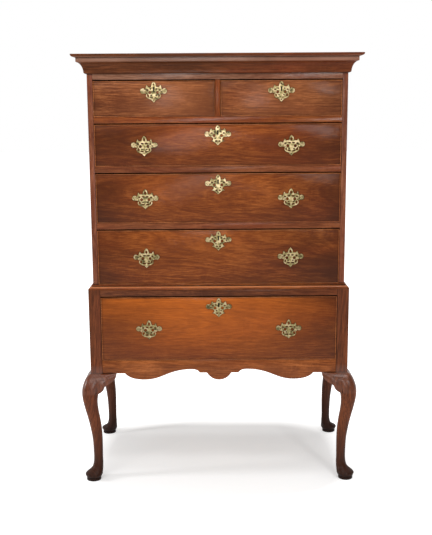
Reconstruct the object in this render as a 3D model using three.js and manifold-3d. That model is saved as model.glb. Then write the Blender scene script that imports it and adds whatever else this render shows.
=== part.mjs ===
import * as THREE from "three";
import { mergeVertices } from "three/addons/utils/BufferGeometryUtils.js";
import Module from "manifold-3d";

// An oak chest on a cabriole-legged stand: two short and three long drawers above, one deep drawer below.
// Millimetres, +Z up. The front faces -Y and the origin is on the floor under the middle of the stand.

// Main sizes of the stand
const standWidth = 1009;
const standDepth = 520;
const kneeHeight = 438; // floor to the foot of the square post
const postSize = 46;
const apronHeight = 53; // at its ends, from the post's foot to the deep drawer
const deepOpening = 256;
const standRailHeight = 25;

// Main sizes of the upper case
const waistReach = 18; // how far the stand stands out past the upper case
const bottomBoardThickness = 19;
const lowerOpening = 215;
const middleOpening = 192;
const upperOpening = 161;
const shortOpening = 136;
const railHeight = 24;
const friezeHeight = 22; // what shows of the frieze rail under the cornice
const corniceHeight = 70;
const corniceReach = 51.5;
const sideThickness = 20;
const dividerWidth = 20;

// Clearances
const jointGap = 0.3; // a closed joint between two pieces
const drawerSideGap = 1.5;
const drawerTopGap = 3;
const drawerBottomGap = 0.3;
const cutOverrun = 2;

// Levels and faces that follow from the sizes above
const apronTop = kneeHeight + apronHeight;
const deepTop = apronTop + deepOpening;
const standTop = deepTop + standRailHeight;
const caseFloor = standTop + bottomBoardThickness;
const lowerTop = caseFloor + lowerOpening;
const middleFloor = lowerTop + railHeight;
const middleTop = middleFloor + middleOpening;
const upperFloor = middleTop + railHeight;
const upperTop = upperFloor + upperOpening;
const shortFloor = upperTop + railHeight;
const shortTop = shortFloor + shortOpening;
const corniceFoot = shortTop + friezeHeight;
const corniceTop = corniceFoot + corniceHeight;
const standFront = -standDepth / 2;
const standBack = standDepth / 2;
const caseFront = standFront + waistReach;
const caseWidth = standWidth - 2 * waistReach;
const postInside = standWidth / 2 - postSize;
const caseInside = caseWidth / 2 - sideThickness;

const wasm = await Module();
wasm.setup();

const oak = new THREE.MeshStandardMaterial({ color: 0x6f3c22, roughness: 0.42, metalness: 0 });
const frontOak = new THREE.MeshStandardMaterial({ color: 0x86481f, roughness: 0.38, metalness: 0 });
const darkOak = new THREE.MeshStandardMaterial({ color: 0x4a281a, roughness: 0.32, metalness: 0 });
const liningOak = new THREE.MeshStandardMaterial({ color: 0xa27b4e, roughness: 0.75, metalness: 0 });
const brass = new THREE.MeshStandardMaterial({ color: 0xb99a55, roughness: 0.34, metalness: 1 });

// A closed solid from a geometry, ready to be joined or cut. What is a solid already stays as it is.
function toSolid(geometry) {
  if (geometry instanceof wasm.Manifold) return geometry;
  const bare = geometry.index ? geometry.toNonIndexed() : geometry.clone();
  bare.deleteAttribute("normal");
  bare.deleteAttribute("uv");
  const merged = mergeVertices(bare);
  const vertProperties = merged.attributes.position.array;
  const triVerts = new Uint32Array(merged.index.array);
  return new wasm.Manifold(new wasm.Mesh({ numProp: 3, vertProperties, triVerts }));
}

function toGeometry(solid) {
  if (solid instanceof THREE.BufferGeometry) return solid;
  const mesh = solid.getMesh();
  const geometry = new THREE.BufferGeometry();
  geometry.setAttribute("position", new THREE.BufferAttribute(mesh.vertProperties, 3));
  geometry.setIndex(new THREE.BufferAttribute(mesh.triVerts, 1));
  const faceted = geometry.toNonIndexed();
  faceted.computeVertexNormals();
  return faceted;
}

function join(...pieces) {
  return pieces.map(toSolid).reduce((whole, piece) => whole.add(piece));
}

function cut(piece, ...tools) {
  return tools.map(toSolid).reduce((whole, tool) => whole.subtract(tool), toSolid(piece));
}

// A box from its lowest corner to its highest corner.
function block(low, high) {
  const size = high.map((value, axis) => value - low[axis]);
  const middle = high.map((value, axis) => (value + low[axis]) / 2);
  return new THREE.BoxGeometry(...size).translate(...middle);
}

// A block grown by a clearance on every side, for the mortise or housing that takes it.
function room(low, high, clearance) {
  return block(
    low.map((value) => value - clearance),
    high.map((value) => value + clearance),
  );
}

// A solid skinned over rings of points, closed by flat ends that follow the given outline.
function skin(rings, outline) {
  const count = outline.length;
  const flat = outline.map(([u, v]) => new THREE.Vector2(u, v));
  const turn = THREE.ShapeUtils.isClockWise(flat) ? -1 : 1;
  const index = [];
  for (let ring = 0; ring + 1 < rings.length; ring++) {
    for (let point = 0; point < count; point++) {
      const a = ring * count + point;
      const b = ring * count + ((point + 1) % count);
      index.push(a, b, b + count, a, b + count, a + count);
    }
  }
  const last = (rings.length - 1) * count;
  for (const [a, b, c] of THREE.ShapeUtils.triangulateShape(flat, [])) {
    const area = THREE.ShapeUtils.area([flat[a], flat[b], flat[c]]);
    const [p, q, r] = area * turn > 0 ? [a, b, c] : [a, c, b];
    index.push(r, q, p, p + last, q + last, r + last);
  }
  const points = rings.flat().map((point) => new THREE.Vector3(...point));
  let volume = 0;
  for (let i = 0; i < index.length; i += 3) {
    const [a, b, c] = [points[index[i]], points[index[i + 1]], points[index[i + 2]]];
    volume += a.dot(b.clone().cross(c));
  }
  if (volume < 0) index.reverse();
  const geometry = new THREE.BufferGeometry().setFromPoints(points);
  geometry.setIndex(index);
  const faceted = geometry.toNonIndexed();
  faceted.computeVertexNormals();
  return faceted;
}

// A flat outline in X and Z, given thickness towards the front from y = 0.
function upright(shape, thickness, curveSegments) {
  const settings = { depth: thickness, bevelEnabled: false, curveSegments };
  return new THREE.ExtrudeGeometry(shape, settings).rotateX(Math.PI / 2);
}

function part(name, shape, material, position = [0, 0, 0]) {
  const mesh = new THREE.Mesh(toGeometry(shape), material);
  mesh.name = name;
  mesh.position.set(...position);
  return mesh;
}

const chest = new THREE.Group();
const stand = new THREE.Group();
const upperCase = new THREE.Group();
chest.add(stand, upperCase);

// Boards and rails of the stand, with the tenons that the posts take
const standBoardThickness = 20;
const standBackThickness = 16;
const tenonLength = 20;
const tenonThickness = 8;
const tenonShoulder = 8;
const standBackRise = 36; // foot of the back board above the foot of the posts
const standBackFoot = kneeHeight + standBackRise;

// The tenon of a rail between two posts, from the post's face into it. Side is -1 for left and 1 for right.
function crossTenon(side, faceY, thickness, foot, head) {
  const joint = side * postInside;
  const middle = faceY + thickness / 2;
  return [
    [joint - tenonLength, middle - tenonThickness / 2, foot + tenonShoulder],
    [joint + tenonLength, middle + tenonThickness / 2, head - tenonShoulder],
  ];
}

// The tenon of a stand side, which runs front to back. End is -1 for front and 1 for rear.
function sideTenon(side, end) {
  const joint = end * (standDepth / 2 - postSize);
  const middle = side * (standWidth / 2 - standBoardThickness / 2);
  return [
    [middle - tenonThickness / 2, joint - tenonLength, apronTop],
    [middle + tenonThickness / 2, joint + tenonLength, standTop - tenonShoulder],
  ];
}

const railTenon = (side) => crossTenon(side, standFront, standBoardThickness, deepTop, standTop);
const apronTenon = (side) => crossTenon(side, standFront, standBoardThickness, kneeHeight, apronTop);
const backTenon = (side) =>
  crossTenon(side, standBack - standBackThickness, standBackThickness, standBackFoot, standTop);

// Cabriole leg: how far the outside swings past the post, how wide the leg is and how square its section
// is, from the floor up. Heights are shares of kneeHeight, reaches of kneeReach and widths of kneeWidth.
const kneeReach = 36;
const kneeWidth = 70;
const legSides = 12;
const legShares = [
  [0, 0.745, 0.777, 2],
  [0.0035, 0.778, 0.812, 2],
  [0.025, 0.783, 0.817, 2],
  [0.029, 0.795, 0.831, 2],
  [0.053, 0.928, 0.98, 2],
  [0.0605, 0.9, 0.965, 2],
  [0.0715, 0.75, 0.895, 2],
  [0.083, 0.54, 0.79, 2],
  [0.096, 0.33, 0.69, 2],
  [0.1145, 0.155, 0.6, 2],
  [0.146, 0.055, 0.553, 2.1],
  [0.192, 0, 0.515, 2.2],
  [0.27, 0.01, 0.527, 2.2],
  [0.375, 0.072, 0.562, 2.3],
  [0.48, 0.25, 0.634, 2.3],
  [0.575, 0.46, 0.685, 2.4],
  [0.667, 0.7, 0.735, 2.6],
  [0.751, 0.9, 0.815, 2.8],
  [0.822, 1, 0.93, 3.1],
  [0.897, 0.86, 1, 3.4],
  [0.958, 0.47, 0.885, 3.9],
  [0.995, 0.1, 0.715, 6],
];

function squircle(angle, squareness) {
  const [c, s] = [Math.abs(Math.cos(angle)), Math.abs(Math.sin(angle))];
  if (squareness === Infinity) return 1 / Math.max(c, s);
  return (c ** squareness + s ** squareness) ** (-1 / squareness);
}

// One level of a leg, where reach is how far its outer faces lie past the faces of the post.
function legRing(sideX, sideY, height, reach, width, squareness) {
  const ring = [];
  for (let k = 0; k < legSides; k++) {
    const angle = (k / legSides) * 2 * Math.PI;
    const radius = (width / 2) * squircle(angle, squareness);
    ring.push([
      sideX * (standWidth / 2 + reach - width / 2 + radius * Math.cos(angle)),
      sideY * (standDepth / 2 + reach - width / 2 + radius * Math.sin(angle)),
      height,
    ]);
  }
  return ring;
}

// Shaped bracket beside each knee. Along is how far it runs under the apron, as a share of bracketLength,
// drop is its depth as a share of bracketDrop and swell is how far it follows the knee outwards.
const bracketLength = 54;
const bracketDrop = 76;
const bracketThickness = 24;
const bracketShares = [
  { along: 1, drop: 0.06, swell: 0.05 },
  { along: 0.9, drop: 0.28, swell: 0.18 },
  { along: 0.63, drop: 0.45, swell: 0.42 },
  { along: 0.3, drop: 0.57, swell: 0.62 },
  { along: 0.14, drop: 0.68, swell: 0.7 },
  { along: 0.04, drop: 0.83, swell: 0.76 },
  { along: -0.2, drop: 0.95, swell: 0.82 },
  { along: -0.4, drop: 1, swell: 0.82 },
];
const kneeCurveShares = [
  [0, 0.06],
  [0.2, 0.4],
  [0.45, 0.72],
  [0.72, 0.94],
  [1, 1],
];

// A bracket along the front of a leg; with turned set it runs along the side instead.
function kneeBracket(sideX, sideY, turned) {
  const rings = bracketShares.map(({ along, drop, swell }) => {
    const depth = drop * bracketDrop;
    const section = kneeCurveShares.map(([down, out]) => [out * swell * kneeReach, -down * depth]);
    section.push([-bracketThickness, -depth], [-bracketThickness, 0]);
    return section.map(([out, rise]) => {
      const run = postInside - along * bracketLength;
      const z = kneeHeight - jointGap + rise;
      const runY = standDepth / 2 - postSize - along * bracketLength;
      return turned
        ? [sideX * (standWidth / 2 + out), sideY * runY, z]
        : [sideX * run, sideY * (standDepth / 2 + out), z];
    });
  });
  const outline = kneeCurveShares.map(([down, out]) => [out, -down]).concat([[-1, -1], [-1, 0]]);
  return skin(rings, outline);
}

function leg(name, sideX, sideY) {
  const rings = legShares.map(([height, reach, width, squareness]) =>
    legRing(sideX, sideY, height * kneeHeight, reach * kneeReach, width * kneeWidth, squareness),
  );
  rings.push(legRing(sideX, sideY, kneeHeight, 0, postSize, Infinity));
  rings.push(legRing(sideX, sideY, standTop, 0, postSize, Infinity));
  const outline = rings[0].map(([x, y]) => [x, y]);
  const shape = join(
    skin(rings, outline),
    kneeBracket(sideX, sideY, false),
    kneeBracket(sideX, sideY, true),
  );
  const tenons = sideY < 0 ? [railTenon(sideX), apronTenon(sideX)] : [backTenon(sideX)];
  tenons.push(sideTenon(sideX, sideY));
  return part(name, cut(shape, ...tenons.map((tenon) => room(...tenon, jointGap))), darkOak);
}

stand.add(
  leg("leg_front_left", -1, -1),
  leg("leg_front_right", 1, -1),
  leg("leg_rear_left", -1, 1),
  leg("leg_rear_right", 1, 1),
);

// Rail, apron, sides and back of the stand. Each stops short of the posts by a closed joint.
function railBetweenPosts(low, high, tenons) {
  return join(block(low, high), ...tenons.map((tenon) => block(...tenon)));
}

const span = postInside - jointGap;
stand.add(
  part(
    "stand_top_rail",
    railBetweenPosts(
      [-span, standFront, deepTop],
      [span, standFront + standBoardThickness, standTop],
      [railTenon(-1), railTenon(1)],
    ),
    oak,
  ),
  part(
    "stand_back",
    railBetweenPosts(
      [-span, standBack - standBackThickness, standBackFoot],
      [span, standBack, standTop],
      [backTenon(-1), backTenon(1)],
    ),
    oak,
  ),
);

// Shaped lower edge of the apron, right half from the middle outwards. Rises and drops are measured from
// the post's foot.
const lobeHalfWidth = 48;
const lobeDrop = 27.5;
const stepWidth = 28;
const stepRise = 1.5;
const archLead = 32; // from the step to the highest point
const archRise = 15.5;
const sideLobeGap = 35; // from the side lobe to the knee bracket
const sideLobeReach = 78; // from the lowest point of the side lobe to its end
const sideLobeDrop = 26;
const stepEnd = lobeHalfWidth + stepWidth;
const archPeak = stepEnd + archLead;
const sideLobeEnd = postInside - bracketLength - sideLobeGap;
const sideLobeLow = sideLobeEnd - sideLobeReach;

function apronShape() {
  const edge = new THREE.Path();
  const z = (rise) => kneeHeight + rise;
  edge.moveTo(0, z(-lobeDrop));
  edge.bezierCurveTo(
    lobeHalfWidth * 0.5, z(-lobeDrop),
    lobeHalfWidth * 0.8, z(-lobeDrop * 0.5),
    lobeHalfWidth, z(stepRise),
  );
  edge.lineTo(stepEnd, z(stepRise));
  edge.quadraticCurveTo(stepEnd + archLead * 0.25, z(archRise), archPeak, z(archRise));
  edge.bezierCurveTo(
    archPeak + (sideLobeLow - archPeak) * 0.5, z(archRise),
    archPeak + (sideLobeLow - archPeak) * 0.62, z(-sideLobeDrop),
    sideLobeLow, z(-sideLobeDrop),
  );
  edge.quadraticCurveTo(sideLobeEnd - sideLobeReach * 0.25, z(-sideLobeDrop), sideLobeEnd, z(0));
  const right = edge.getPoints(6);
  const left = right.slice(1).reverse().map((point) => new THREE.Vector2(-point.x, point.y));
  const ends = [new THREE.Vector2(span, z(0)), new THREE.Vector2(span, apronTop)];
  const farEnds = ends.map((point) => new THREE.Vector2(-point.x, point.y)).reverse();
  return new THREE.Shape([...right, ...ends, ...farEnds, ...left]);
}

const apronBody = upright(apronShape(), standBoardThickness, 1);
apronBody.translate(0, standFront + standBoardThickness, 0);
stand.add(part("apron", join(apronBody, block(...apronTenon(-1)), block(...apronTenon(1))), oak));

// Stand sides, with a long shallow arch between the brackets
const sideArchRise = 24;
const sideFoot = 34; // flat beside each bracket, before the arch starts

function standSide(name, side) {
  const half = standDepth / 2 - postSize - jointGap;
  const archEnd = half - bracketLength - sideFoot;
  const [foot, crown] = [kneeHeight, kneeHeight + sideArchRise];
  const edge = new THREE.Shape();
  edge.moveTo(-half, foot);
  edge.lineTo(-archEnd, foot);
  edge.bezierCurveTo(-archEnd * 0.7, foot, -archEnd * 0.6, crown, 0, crown);
  edge.bezierCurveTo(archEnd * 0.6, crown, archEnd * 0.7, foot, archEnd, foot);
  edge.lineTo(half, foot);
  edge.lineTo(half, standTop);
  edge.lineTo(-half, standTop);
  edge.closePath();
  const outer = side < 0 ? -standWidth / 2 : standWidth / 2 - standBoardThickness;
  const board = upright(edge, standBoardThickness, 7).rotateZ(Math.PI / 2).translate(outer, 0, 0);
  return part(name, join(board, block(...sideTenon(side, -1)), block(...sideTenon(side, 1))), oak);
}

stand.add(standSide("stand_side_left", -1), standSide("stand_side_right", 1));

// Frame under the deep drawer: two runners with guides, tied by a front and a rear bearer
const runnerWidth = 52;
const runnerThickness = 18;
const bearerDepth = 44;
const guideHeight = 22;

function runnerFrame() {
  const foot = apronTop - runnerThickness;
  const outside = standWidth / 2 - standBoardThickness - jointGap;
  const runnerEnd = standDepth / 2 - postSize - jointGap;
  const front = standFront + standBoardThickness + jointGap;
  const back = standBack - standBackThickness - jointGap;
  const pieces = [
    block([-span, front, foot], [span, front + bearerDepth, apronTop]),
    block([-span, back - bearerDepth, foot], [span, back, apronTop]),
  ];
  for (const side of [-1, 1]) {
    const across = (a, b) => [side * a, side * b].sort((p, q) => p - q);
    const [runnerLow, runnerHigh] = across(outside - runnerWidth, outside);
    const [guideLow, guideHigh] = across(postInside, outside);
    pieces.push(
      block([runnerLow, -runnerEnd, foot], [runnerHigh, runnerEnd, apronTop]),
      block([guideLow, -runnerEnd, foot], [guideHigh, runnerEnd, apronTop + guideHeight]),
    );
  }
  return join(...pieces);
}

stand.add(part("stand_runner_frame", runnerFrame(), liningOak));

// Waist moulding on top of the stand: reaches and rises are shares of waistReach and of its height
const waistHeight = bottomBoardThickness;
const waistShares = [
  [0, 0],
  [1, 0],
  [1, 0.17],
  [0.93, 0.34],
  [0.76, 0.55],
  [0.5, 0.74],
  [0.22, 0.84],
  [0.16, 0.85],
  [0.16, 1],
  [0, 1],
];

// Points of a moulding's section at a place along the upper case: reach goes outwards, rise goes up.
function frontEnd(profile, foot, side, inset) {
  const front = caseFront + inset;
  return profile.map(([reach, rise]) => [side * (caseWidth / 2 + reach), front - reach, foot + rise]);
}

function backEnd(profile, foot, side) {
  return profile.map(([reach, rise]) => [side * (caseWidth / 2 + reach), standBack, foot + rise]);
}

const waistProfile = waistShares.map(([reach, rise]) => [
  jointGap + reach * (waistReach - jointGap),
  jointGap + rise * (waistHeight - jointGap),
]);
stand.add(
  part(
    "waist_moulding",
    skin(
      [
        backEnd(waistProfile, standTop, -1),
        frontEnd(waistProfile, standTop, -1, 0),
        frontEnd(waistProfile, standTop, 1, 0),
        backEnd(waistProfile, standTop, 1),
      ],
      waistProfile,
    ),
    oak,
  ),
);

// Upper case boards
const topBoardThickness = 16;
const topBoardDrop = 2; // below the top edge of the cornice
const backPanelThickness = 12;
const housingDepth = 6;
const housingSetback = 12; // hides the housing behind the front edge of the side
const dustboardThickness = 10;
const friezeThickness = 20;
const drawerRailDepth = 62;
const topBoardFoot = corniceTop - topBoardDrop - topBoardThickness;
const caseBack = standBack - backPanelThickness;

function dustboardEnds(side, floor) {
  const middle = side * caseInside;
  return [
    [middle - housingDepth, caseFront + housingSetback, floor - dustboardThickness],
    [middle + housingDepth, caseBack - jointGap, floor],
  ];
}

function upperSide(name, side) {
  const [low, high] = [side * caseInside, (side * caseWidth) / 2].sort((a, b) => a - b);
  const board = block([low, caseFront, standTop + jointGap], [high, standBack, topBoardFoot - jointGap]);
  const rebateX = [side * (caseInside - cutOverrun), side * (caseInside + housingDepth)];
  rebateX.sort((a, b) => a - b);
  const rebate = block(
    [rebateX[0], caseBack - jointGap, standTop - cutOverrun],
    [rebateX[1], standBack + cutOverrun, corniceTop],
  );
  const floors = [middleFloor, upperFloor, shortFloor];
  const housings = floors.map((floor) => room(...dustboardEnds(side, floor), jointGap));
  return part(name, cut(board, rebate, ...housings), oak);
}

const insideSpan = caseInside - jointGap;
upperCase.add(
  upperSide("upper_side_left", -1),
  upperSide("upper_side_right", 1),
  part(
    "upper_top_board",
    block([-caseWidth / 2, caseFront, topBoardFoot], [caseWidth / 2, standBack, corniceTop - topBoardDrop]),
    oak,
  ),
  part(
    "upper_bottom_board",
    block([-insideSpan, caseFront, standTop + jointGap], [insideSpan, caseBack - jointGap, caseFloor]),
    oak,
  ),
  part(
    "upper_back_panel",
    block(
      [-insideSpan - housingDepth, caseBack, standTop + jointGap],
      [insideSpan + housingDepth, standBack, topBoardFoot - jointGap],
    ),
    liningOak,
  ),
  part(
    "frieze_rail",
    block(
      [-insideSpan, caseFront, shortTop],
      [insideSpan, caseFront + friezeThickness, topBoardFoot - jointGap],
    ),
    oak,
  ),
);

// Drawer rails, each with the dustboard behind it that is housed in the sides
function drawerRail(name, floor) {
  const rail = block(
    [-insideSpan, caseFront, floor - railHeight],
    [insideSpan, caseFront + drawerRailDepth, floor],
  );
  const [left] = dustboardEnds(-1, floor);
  const [, right] = dustboardEnds(1, floor);
  return part(name, join(rail, block(left, right)), oak);
}

upperCase.add(
  drawerRail("drawer_rail_lower", middleFloor),
  drawerRail("drawer_rail_middle", upperFloor),
  drawerRail("drawer_rail_upper", shortFloor),
);

// Post between the short drawers, with the guide strip that runs back from it
const guideStripHeight = 18;
const dividerFoot = shortFloor + jointGap;
upperCase.add(
  part(
    "short_drawer_divider",
    join(
      block(
        [-dividerWidth / 2, caseFront, dividerFoot],
        [dividerWidth / 2, caseFront + drawerRailDepth, shortTop - jointGap],
      ),
      block(
        [-dividerWidth / 2, caseFront, dividerFoot],
        [dividerWidth / 2, caseBack - jointGap, dividerFoot + guideStripHeight],
      ),
    ),
    oak,
  ),
);

// Cornice: a small foot, a hollow, a flat band and a rounded lip
const footReach = 10;
const footRise = 7;
const bandStep = 1; // how far the band stands out past the hollow
const bandHeight = 16;
const lipReach = 17; // how far the lip stands out past the band
const lipHeight = 9;
const edgeHeight = 3; // flat edge above the lip
const curveSteps = 6;
const lipRise = corniceHeight - edgeHeight;
const bandTop = lipRise - lipHeight;
const hollowTop = bandTop - bandHeight;
const bandReach = corniceReach - lipReach;
const hollowReach = bandReach - bandStep;

function corniceProfile() {
  const points = [
    [0, 0],
    [footReach * 0.4, 0],
    [footReach, footRise * 0.55],
  ];
  for (let step = 0; step <= curveSteps; step++) {
    const turn = (step / curveSteps) * (Math.PI / 2);
    points.push([
      hollowReach - (hollowReach - footReach) * Math.cos(turn),
      footRise + (hollowTop - footRise) * Math.sin(turn),
    ]);
  }
  points.push([bandReach, hollowTop]);
  for (let step = 0; step <= curveSteps; step++) {
    const turn = (step / curveSteps) * (Math.PI / 2);
    points.push([
      bandReach + lipReach * Math.sin(turn),
      lipRise - lipHeight * Math.cos(turn),
    ]);
  }
  points.push([corniceReach, corniceHeight], [0, corniceHeight]);
  return points.map(([reach, rise]) => [Math.max(reach, jointGap), rise]);
}

const cornice = corniceProfile();
const mitreGap = 0.5;
upperCase.add(
  part(
    "cornice_front",
    skin([frontEnd(cornice, corniceFoot, -1, 0), frontEnd(cornice, corniceFoot, 1, 0)], cornice),
    oak,
  ),
);
for (const [name, side] of [
  ["cornice_left", -1],
  ["cornice_right", 1],
]) {
  const ends = [frontEnd(cornice, corniceFoot, side, mitreGap), backEnd(cornice, corniceFoot, side)];
  upperCase.add(part(name, skin(ends, cornice), oak));
}

// Brass plates: the outline is half of a symmetrical shape, in shares of half the width and half the height
const plateWidth = 100;
const plateHeight = 76;
const plateThickness = 1.8;
const earRadius = 9.5; // round scroll at each end
const earRise = 4;

function plateOutline() {
  const [w, h] = [plateWidth / 2, plateHeight / 2];
  const edge = new THREE.Path();
  edge.moveTo(0, h);
  edge.quadraticCurveTo(0.14 * w, 0.84 * h, 0.2 * w, 0.46 * h);
  edge.quadraticCurveTo(0.28 * w, 0.38 * h, 0.38 * w, 0.44 * h);
  edge.lineTo(0.5 * w, 0.68 * h);
  edge.quadraticCurveTo(0.56 * w, 0.5 * h, 0.61 * w, 0.3 * h);
  edge.absarc(w - earRadius, earRise, earRadius, (Math.PI * 5) / 6, (-Math.PI * 2) / 3, true);
  edge.quadraticCurveTo(0.5 * w, -0.18 * h, 0.38 * w, -0.44 * h);
  edge.lineTo(0.5 * w, -0.57 * h);
  edge.quadraticCurveTo(0.3 * w, -0.58 * h, 0.13 * w, -0.8 * h);
  edge.quadraticCurveTo(0.08 * w, -0.92 * h, 0, -h);
  const right = edge.getPoints(3);
  const left = right.slice(1, -1).reverse().map((point) => new THREE.Vector2(-point.x, point.y));
  return new THREE.Shape([...right, ...left]);
}

// Piercings as shares of half the plate: centre across, centre up, radius across, radius up
const finialPierceShares = [0, 0.7, 0.055, 0.11];
const sidePierceShares = [
  [0.28, -0.07, 0.08, 0.12],
  [0.43, 0.18, 0.05, 0.08],
  [0.14, -0.58, 0.09, 0.07],
];
const pierceSides = 4;

function pierce(shape, [across, up, radiusAcross, radiusUp]) {
  const hole = new THREE.Path();
  const points = [];
  for (let k = 0; k < pierceSides; k++) {
    const angle = (k / pierceSides) * 2 * Math.PI;
    points.push(
      new THREE.Vector2(
        (across + radiusAcross * Math.cos(angle)) * (plateWidth / 2),
        (up + radiusUp * Math.sin(angle)) * (plateHeight / 2),
      ),
    );
  }
  hole.setFromPoints(points);
  shape.holes.push(hole);
}

// Keyhole: a round eye over a slot, measured from the middle of its plate
const eyeRadius = 2.4;
const eyeRise = 15.5;
const slotWidth = 3;
const slotFoot = 2;
const keyholeSteps = 7;

function keyholePoints() {
  const opening = Math.asin(slotWidth / 2 / eyeRadius);
  const points = [new THREE.Vector2(slotWidth / 2, slotFoot)];
  for (let k = 0; k <= keyholeSteps; k++) {
    const angle = -Math.PI / 2 + opening + (k / keyholeSteps) * 2 * (Math.PI - opening);
    points.push(new THREE.Vector2(eyeRadius * Math.cos(angle), eyeRise + eyeRadius * Math.sin(angle)));
  }
  points.push(new THREE.Vector2(-slotWidth / 2, slotFoot));
  return points;
}

function plateBody(hasKeyhole) {
  const shape = plateOutline();
  if (hasKeyhole) shape.holes.push(new THREE.Path(keyholePoints()));
  pierce(shape, finialPierceShares);
  for (const [across, ...rest] of sidePierceShares) {
    pierce(shape, [across, ...rest]);
    pierce(shape, [-across, ...rest]);
  }
  return upright(shape, plateThickness, 1);
}

// Posts that stand out of the plate and hold the bail by its ends
const postSpacing = 56;
const postRise = -1; // above the middle of the plate
const postReach = 12; // plate's face to the middle of the post's head
const postRadius = 2.4;
const headRadius = 4.4;
const bailRadius = 1.9;
const pivotClearance = 0.5;
const postSides = 6;

function handlePost(side) {
  const shaftLength = postReach + plateThickness / 2;
  const place = [(side * postSpacing) / 2, -plateThickness - postReach, postRise];
  const shaft = new THREE.CylinderGeometry(postRadius, postRadius, shaftLength, postSides);
  shaft.translate(0, shaftLength / 2, 0).translate(...place);
  const head = new THREE.SphereGeometry(headRadius, postSides + 2, postSides).translate(...place);
  const eyeSize = bailRadius + pivotClearance;
  const eye = new THREE.CylinderGeometry(eyeSize, eyeSize, 2 * headRadius + cutOverrun, postSides);
  eye.rotateZ(Math.PI / 2).translate(...place);
  return cut(join(shaft, head), eye);
}

// Bail that hangs between the posts on its two ends. Places are shares of half the post spacing and of the
// bail's drop.
const bailDrop = 24;
const neckGap = 0.9; // from the post's head to the arm beside it
const neckInset = headRadius + neckGap + bailRadius;
const pinEnd = 2.5; // past the post's middle
const bailShares = [
  [0.92, -0.4],
  [0.88, -0.66],
  [0.64, -0.88],
  [0.3, -0.98],
];
const bailSides = 6;
const bailSteps = 20;

function bail() {
  const half = postSpacing / 2;
  const points = [
    [half + pinEnd, 0],
    [half - neckInset + 2 * bailRadius, 0],
    [half - neckInset, -bailRadius / 2],
    ...bailShares.map(([across, up]) => [across * half, up * bailDrop]),
  ];
  const right = points.map(([x, z]) => new THREE.Vector3(x, 0, z));
  const left = right.map((point) => new THREE.Vector3(-point.x, 0, point.z)).reverse();
  const bottom = new THREE.Vector3(0, 0, -bailDrop);
  const path = new THREE.CatmullRomCurve3([...right, bottom, ...left], false, "centripetal");
  const section = new THREE.Shape();
  section.absarc(0, 0, bailRadius, 0, 2 * Math.PI);
  return new THREE.ExtrudeGeometry(section, {
    steps: bailSteps,
    curveSegments: bailSides / 2,
    bevelEnabled: false,
    extrudePath: path,
  });
}

// Drawers. Every drawer is a front with its bead and a box of sides, back and bottom behind it.
const frontThickness = 20;
const beadWidth = 3;
const beadProud = 1.2;
const liningThickness = 11;
const drawerBottomThickness = 9;
const liningDrop = 6; // top of the drawer sides below the top of the front
const boxSetIn = 0.5; // drawer sides inside the ends of the front
const drawerBackGap = 22; // behind the upper drawers when they are shut
const drawerLength = caseBack - caseFront - drawerBackGap;
const handleInset = 187.5; // end of a long front to the middle of its handle
const deepHandleInset = 185.5;
const handleDrop = 3; // plate's middle below the middle of a long front
const plateTopGap = 1.5; // bead to the tip of the plate

function drawerFront(width, height, keyholeHeight) {
  const half = width / 2;
  const slab = block([-half, 0, 0], [half, frontThickness, height]);
  const border = cut(
    block([-half, -beadProud, 0], [half, beadWidth, height]),
    block(
      [-half + beadWidth, -beadProud - cutOverrun, beadWidth],
      [half - beadWidth, beadWidth + cutOverrun, height - beadWidth],
    ),
  );
  const depth = frontThickness + 2 * cutOverrun;
  const keyhole = upright(new THREE.Shape(keyholePoints()), depth, 1);
  keyhole.translate(0, frontThickness + cutOverrun, keyholeHeight);
  return cut(join(slab, border), keyhole);
}

function drawerBox(width, height) {
  const half = width / 2 - boxSetIn;
  const front = frontThickness + jointGap;
  return cut(
    block([-half, front, 0], [half, drawerLength, height - liningDrop]),
    block(
      [-half + liningThickness, front - cutOverrun, drawerBottomThickness],
      [half - liningThickness, drawerLength - liningThickness, height],
    ),
  );
}

// Adds a plate, with its bail where it has one, at a place on the drawer's front.
function addBrass(drawer, name, suffix, place, hasKeyhole, hasBail) {
  const [x, z] = place;
  const body = plateBody(hasKeyhole);
  const label = hasBail ? "plate" : "escutcheon";
  const plate = hasBail ? join(body, handlePost(-1), handlePost(1)) : body;
  drawer.add(part(`${name}_${label}${suffix}`, plate, brass, [x, -jointGap, z]));
  if (!hasBail) return;
  const pivot = [x, -jointGap - plateThickness - postReach, z + postRise];
  drawer.add(part(`${name}_bail${suffix}`, bail(), brass, pivot));
}

function addDrawer(name, middleX, frontY, floor, openingWidth, openingHeight, inset) {
  const drawer = new THREE.Group();
  drawer.position.set(middleX, frontY, floor + drawerBottomGap);
  const width = openingWidth - 2 * drawerSideGap;
  const height = openingHeight - drawerTopGap - drawerBottomGap;
  const lockHeight = height - beadWidth - plateTopGap - plateHeight / 2;
  drawer.add(
    part(`${name}_front`, drawerFront(width, height, lockHeight), frontOak),
    part(`${name}_box`, drawerBox(width, height), liningOak),
  );
  if (inset) {
    const handleHeight = height / 2 - handleDrop;
    addBrass(drawer, name, "_left", [inset - width / 2, handleHeight], false, true);
    addBrass(drawer, name, "_right", [width / 2 - inset, handleHeight], false, true);
    addBrass(drawer, name, "", [0, lockHeight], true, false);
  } else {
    addBrass(drawer, name, "", [0, lockHeight], true, true);
  }
  chest.add(drawer);
}

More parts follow.
